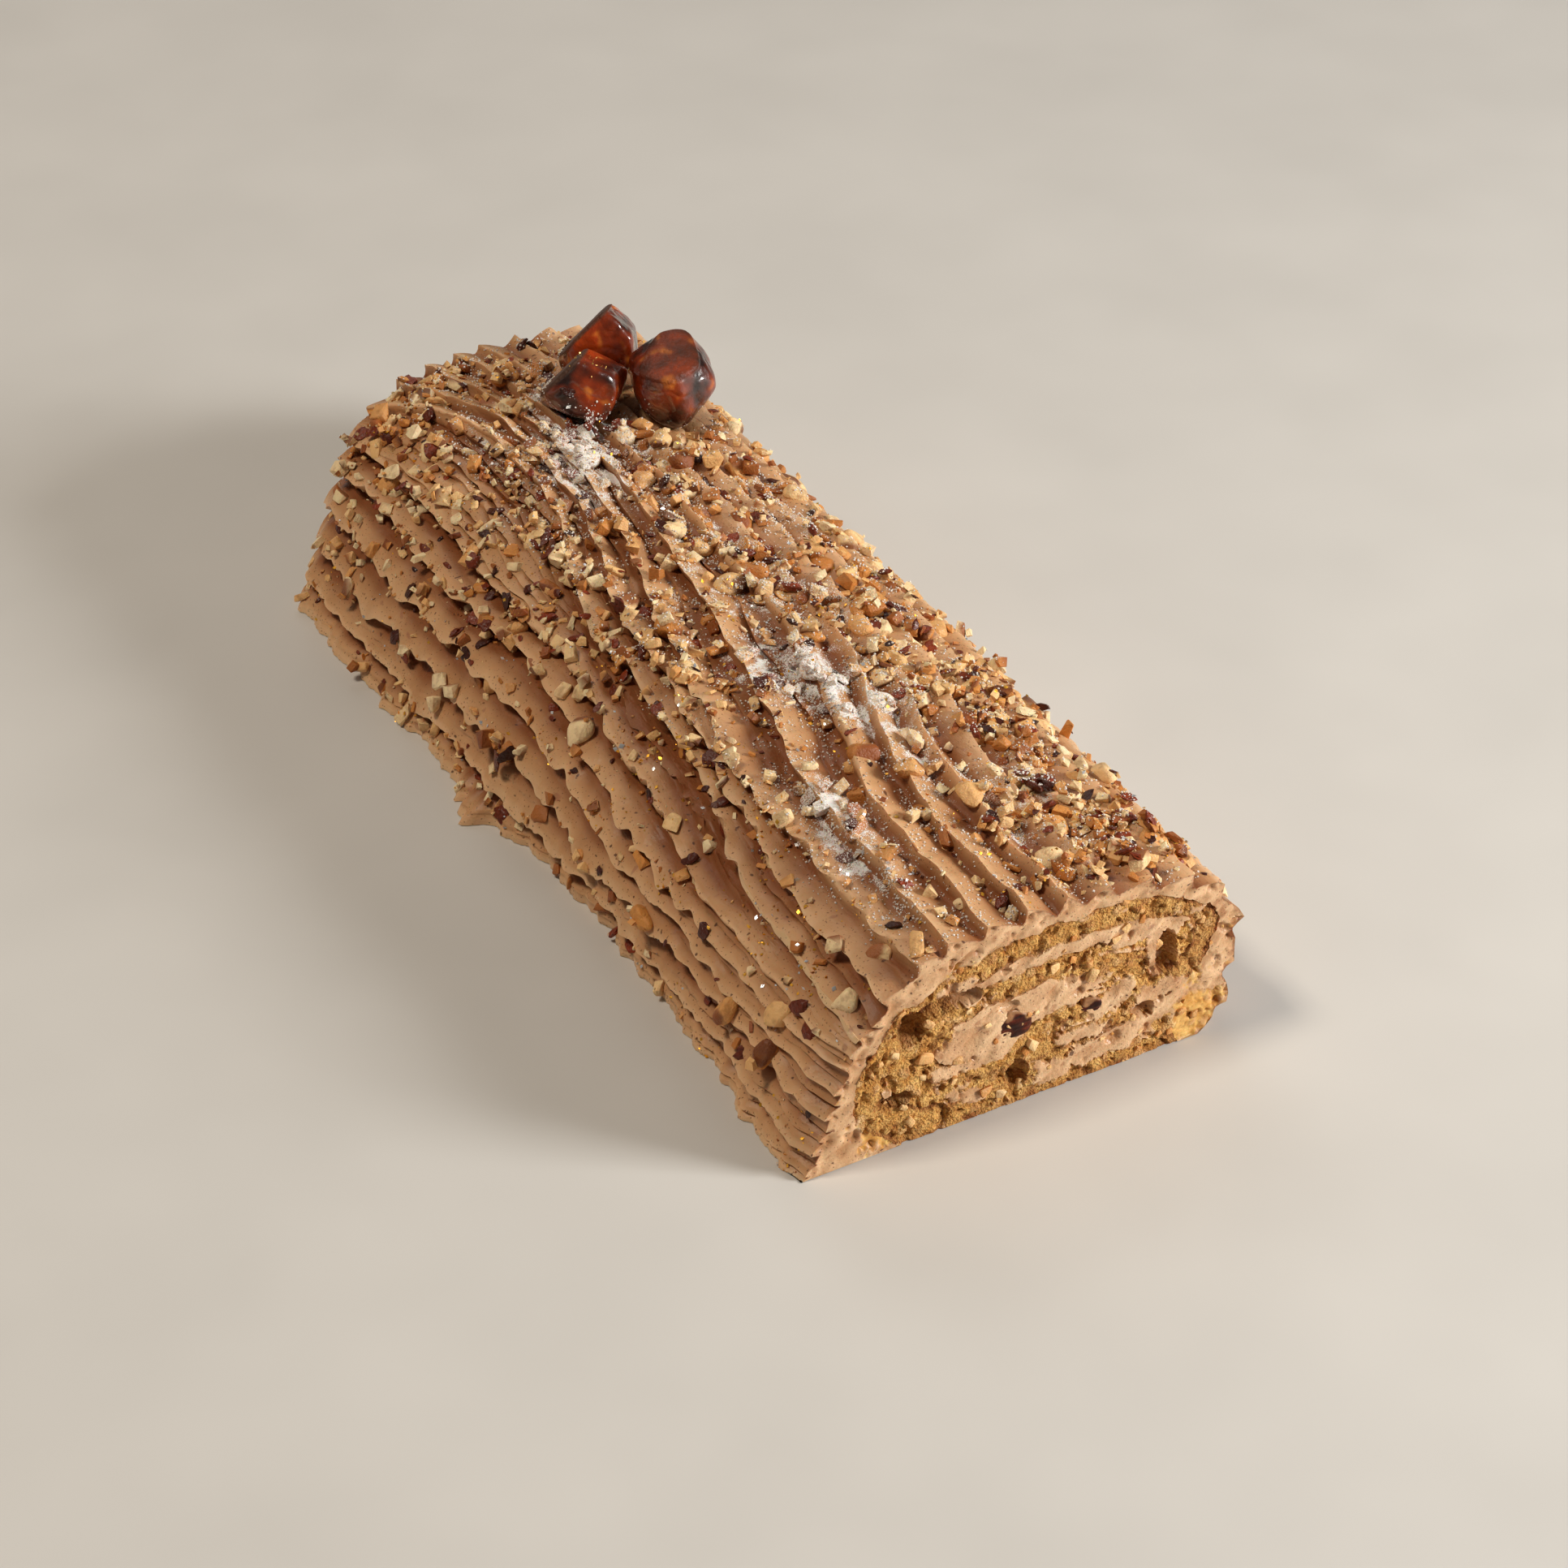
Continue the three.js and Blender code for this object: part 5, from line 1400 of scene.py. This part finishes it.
large_bits = Strewn()
nut_ways, nut_triangles = ball(3)
for spot, outward, size, turn, shape, way, at in large_nuts():
    cuts, breadth = nut_faces(shape)
    uneven = 0.03 * mottle(nut_ways + shape % 97, 0.4, 61)
    body = nut_ways * (lump(nut_ways, cuts, NUT_SOFTNESS) + uneven)[:, None]
    body = body * (size / 2) * [1, breadth, NUT_FLATNESS]
    skin_side = unit(dice.normal(size=3))
    brown_side = smoothstep(nut_ways @ skin_side, *dice.choice(SKIN_EDGES))
    base = through_tones(NUT_TONES, dice.uniform(0.1, 0.85, 1))
    brown = shade(NUT_SKIN, NUT_ROASTED, dice.random(1))
    colours = lerp(base, brown, SKIN_STRENGTH * brown_side[:, None])
    powder = SUGAR_ON_NUTS * sugar_at(np.array([at]), np.array([way]))
    large_bits.add(set_down(body, turn, outward, spot)[None], nut_triangles, colours, powder)
nut_stuff = chopped_nut("chopped hazelnut", 2.4)
chopped_nuts = large_bits.make("largest_chopped_nuts", nut_stuff, "chopped_nuts", 50)
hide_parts("icing")

ground = [(skin, quads), *chestnut_surfaces, large_bits.surface()]
small_bits = Strewn()
for number, (count, smallest, largest, skinned, tilt) in enumerate(NUT_BITS):
    along_at, way_at, spots, ups = drawn_places(count, bit_cover, BIT_CLUSTERS, CHESTNUT_HALF)
    spots, ups = landed(landing(*ground), spots, ups)
    sizes = lerp(smallest, largest, dice.random(len(spots)) ** 1.6)
    tones = through_tones(NUT_TONES, dice.random(len(spots)) ** 1.5)
    shapes = NUT_SHAPES[dice.choice(len(NUT_SHAPES), len(spots), p=NUT_SHAPE_SHARES)]
    spots = spots + ups * (sizes * shapes[:, 2] * dice.uniform(0.08, 0.42, len(sizes)))[:, None]
    bits = Strewn() if number < len(NUT_PIECES) else small_bits
    kinds = worn_chips if number == 0 else sharp_chips
    powder = SUGAR_ON_NUTS * sugar_at(along_at, way_at)
    bits.scatter(kinds, spots, ups, sizes, shapes, tones, tilt, powder, skinned)
    if number < len(NUT_PIECES):
        bits.make(NUT_PIECES[number], nut_stuff, "chopped_nuts", 30)
        ground.append(bits.surface())
small_bits.make("fine_chopped_nuts", nut_stuff, "chopped_nuts", 30)

# ---------------------------------------------------------------- nut skins
# Dark skins that came off the nuts in roasting, with what stuck to them: crumpled, brittle scraps
# of 2 to 6 mm, red-brown to black, with a gloss. Some lie in the syrup by the left chestnut.

SKINS, SKIN_SIZES, SKIN_KINDS = 520, (1.8, 6.2), 10
SKIN_BLACK, SKIN_RED, SKIN_SOFTNESS = (54, 19, 10), (150, 60, 26), 20
SYRUP_PLACES = [
    [57, 227], [59.5, 225], [62, 224], [64.5, 223.5], [56, 230], [58, 223], [61, 221.5],
    [66.5, 223], [54.5, 228.5],
]
SYRUP_HEIGHT, SYRUP_SKIN_SIZE = 55.0, 4.2
SKIN_CLUSTERS, SUGAR_ON_SKINS, SKIN_TILT = 1.4, 0.7, 0.3
SKIN_BREADTHS, SKIN_THICKNESSES, SKIN_LIFT = (0.45, 0.9), (0.14, 0.36), 0.2


def crumpled(kind):
    """A brittle scrap, about 2 across: its points, its faces and its points' ways."""
    ways, faces = ball(2)
    cuts, _ = nut_faces(int(dice.integers(1, 10**6)))
    own = ways + 5.0 * kind
    folds = 0.5 * np.abs(mottle(own, 0.9, 65)) + 0.25 * mottle(own, 0.5, 66)
    points = ways * (lump(ways, cuts, SKIN_SOFTNESS) - folds)[:, None]
    return points, faces, ways


skins = Strewn()
along_at, way_at, spots, ups = drawn_places(SKINS, bit_cover, SKIN_CLUSTERS, CHESTNUT_HALF)
in_syrup = len(SYRUP_PLACES)
powder = np.append(SUGAR_ON_SKINS * sugar_at(along_at, way_at), np.zeros(in_syrup))
spots = np.vstack([spots, np.column_stack([SYRUP_PLACES, np.full(in_syrup, SYRUP_HEIGHT)])])
ups = np.vstack([ups, np.tile([0, 0, 1.0], (in_syrup, 1))])
spots, ups = landed(landing(*ground), spots, ups)
count = len(spots)
sizes = lerp(*SKIN_SIZES, dice.random(count) ** 1.6)
sizes[-in_syrup:] = SYRUP_SKIN_SIZE
breadths, thicknesses = dice.uniform(*SKIN_BREADTHS, count), dice.uniform(*SKIN_THICKNESSES, count)
shapes = np.column_stack([np.ones(count), breadths, thicknesses])
spots = spots + ups * (SKIN_LIFT * sizes * shapes[:, 2])[:, None]
scraps = [crumpled(kind) for kind in range(SKIN_KINDS)]
tones = shade(SKIN_BLACK, SKIN_RED, dice.random(count) ** 1.4)
skins.scatter(scraps, spots, ups, sizes, shapes, tones, SKIN_TILT, powder)
skin_stuff = veined("roasted nut skin", (0.9, 0.35, 0.65), 0.4, (0.006, 0.002, 0.002), 0.14, None,
                    sugared, Roughness=0.32, Specular_IOR_Level=0.4)
skins.make("nut_skins", skin_stuff, "chopped_nuts", 30)
ground.append(skins.surface())

# ---------------------------------------------------------------- icing sugar and glitter
# Icing sugar sifted over the top, clotted to small grains, and edible glitter: gold and silver
# flakes of 0.3 to 2 mm. All of it lies loose on the icing and the nuts.

CLUMP_CLUSTERS, FLAKE_CLUSTERS = 1.6, 1.3
# Sugar: clumps, grains in each, their spread, sizes and colour.
SUGAR = [2900, 6, 1.1, (0.22, 0.8), (244, 240, 234)]
# Flakes: places, flakes round each, their spread, sizes and colour.
FLAKES = [
    [150, 10, 2.6, (0.4, 1.3), (255, 190, 70)],
    [420, 1, 0.1, (0.5, 1.4), (255, 196, 84)],
    [110, 5, 1.8, (0.5, 1.4), (236, 240, 246)],
    [160, 1, 0.1, (0.8, 1.9), (240, 244, 248)],
]
# The same for the flakes that lie round one place on the left chestnut.
ON_CHESTNUT, FLAKES_THERE = [64.0, 233.0, 66.0], 26
CHESTNUT_FLAKES = [1, 3.0, (0.3, 1.0), (255, 206, 120)]
FLAKE_SHAPE, FLAKE_TILT, GRAIN_SHAPE, GRAIN_TILT = [1, 0.72, 0.07], 0.7, [1, 0.9, 0.8], 0.8
DIAMOND = (
    np.vstack([np.eye(3), -np.eye(3)]),
    np.array([
        [0, 1, 2], [1, 3, 2], [3, 4, 2], [4, 0, 2],
        [1, 0, 5], [3, 1, 5], [4, 3, 5], [0, 4, 5],
    ]),
    np.vstack([np.eye(3), -np.eye(3)]),
)
everything = landing(*ground)


def sprinkled(strewn, shape, tilt, spots, ups, each, spread, sizes, colour):
    """Small bits round each of some places, dropped onto what lies there."""
    spots, ups = np.repeat(spots, each, axis=0), np.repeat(ups, each, axis=0)
    spots, ups = landed(everything, spots + spread * dice.normal(size=spots.shape), ups)
    count = len(spots)
    sizes = lerp(*sizes, dice.random(count) ** 1.6)
    colours = np.tile(srgb(colour), (count, 1)) * dice.uniform(0.85, 1, (count, 1))
    spots = spots + ups * (0.2 * sizes)[:, None]
    strewn.scatter([DIAMOND], spots, ups, sizes, np.tile(shape, (count, 1)), colours, tilt,
                   np.zeros(count))


def clump_cover(along, way):
    return sugar_at(along, way) ** 1.5


def glitter_cover(along, way):
    on_side = np.exp(-(((along - 90) / 60) ** 2) - ((way - 52) / 18) ** 2)
    return 0.04 + 0.1 * nut_cover(along, way) + 0.1 * sugar_at(along, way) + 0.22 * on_side


sugar, glitter = Strewn(), Strewn()
clumps, *rest = SUGAR
sprinkled(sugar, GRAIN_SHAPE, GRAIN_TILT, *drawn_places(clumps, clump_cover, CLUMP_CLUSTERS)[2:],
          *rest)
places_and_ups = [np.tile(row, (FLAKES_THERE, 1)) for row in (ON_CHESTNUT, [0, 0, 1.0])]
sprinkled(glitter, FLAKE_SHAPE, FLAKE_TILT, *places_and_ups, *CHESTNUT_FLAKES)
for places, *rest in FLAKES:
    drawn = drawn_places(places, glitter_cover, FLAKE_CLUSTERS)[2:]
    sprinkled(glitter, FLAKE_SHAPE, FLAKE_TILT, *drawn, *rest)


def loose_stuff(name, size, depth, **sockets):
    material, shader, place = foodstuff(name, **sockets)
    tint = attribute(material, "tint", "Color")
    return finish_material(material, shader, tint, grains(material, place, size, 0.3, 0.7), depth)


sugar_stuff = loose_stuff("icing sugar", 0.2, 0.05, Roughness=0.8, Specular_IOR_Level=0.3)
glitter_stuff = loose_stuff("edible glitter", 0.5, 0.02, Roughness=0.36, Metallic=0.85)
sugar.make("icing_sugar_grains", sugar_stuff, "sugar_and_flakes", 30)
glitter.make("glitter_flakes", glitter_stuff, "sugar_and_flakes", 30)

# ---------------------------------------------------------------- floor, light and camera
# A plain pale floor. A window to the right of the front cut gives the main light, a warm sky
# fills in from above on the left, and a small window behind lights the far end.

floor_mesh = bpy.data.meshes.new("floor")
floor_mesh.from_pydata([(-4, -4, 0), (4, -4, 0), (4, 4, 0), (-4, 4, 0)], [], [(0, 1, 2, 3)])
floor = bpy.data.objects.new("floor", floor_mesh)
floor.location.z = -0.0002
bpy.context.scene.collection.objects.link(floor)
pale, pale_shader, pale_place = foodstuff("pale floor", Roughness=0.7)
paper = grains(pale, pale_place, 60, 0.3, 0.7)
floor_colour = tinted(pale, (0.62, 0.61, 0.59, 1), paper, (0.66, 0.65, 0.63, 1))
finish_material(pale, pale_shader, floor_colour, paper, 0.05)
floor_mesh.materials.append(pale)


def softbox(name, direction, distance, size, watts, colour):
    """A square soft light, so many metres away, that shines at the middle of the cake."""
    light = bpy.data.lights.new(name, "AREA")
    light.size, light.energy, light.color = size, watts, colour
    lamp = bpy.data.objects.new(name, light)
    way = Vector(direction).normalized()
    lamp.location = way * distance
    lamp.rotation_euler = way.to_track_quat("Z", "Y").to_euler()
    bpy.context.scene.collection.objects.link(lamp)


softbox("window", (0.86, -0.78, 0.5), 1.4, 0.34, 21, (1.0, 0.98, 0.94))
softbox("sky fill", (-0.5, 0.08, 1.0), 2.0, 0.4, 18, (1.0, 0.87, 0.71))
softbox("back window", (0.3, 0.9, 0.8), 1.8, 0.8, 4, (1.0, 0.96, 0.91))

world = bpy.data.worlds.new("studio")
world.use_nodes = True
world.node_tree.nodes["Background"].inputs["Color"].default_value = (1.0, 0.88, 0.76, 1)
world.node_tree.nodes["Background"].inputs["Strength"].default_value = 0.09
bpy.context.scene.world = world
bpy.context.scene.view_settings.view_transform = "Standard"

camera = bpy.data.objects.new("camera", bpy.data.cameras.new("camera"))
camera.location = (-0.38156, -0.71105, 0.588)
camera.rotation_euler = (np.radians(53.91), 0, np.radians(-29.3))
camera.data.lens, camera.data.sensor_width = 92.70, 36
bpy.context.scene.collection.objects.link(camera)
bpy.context.scene.camera = camera
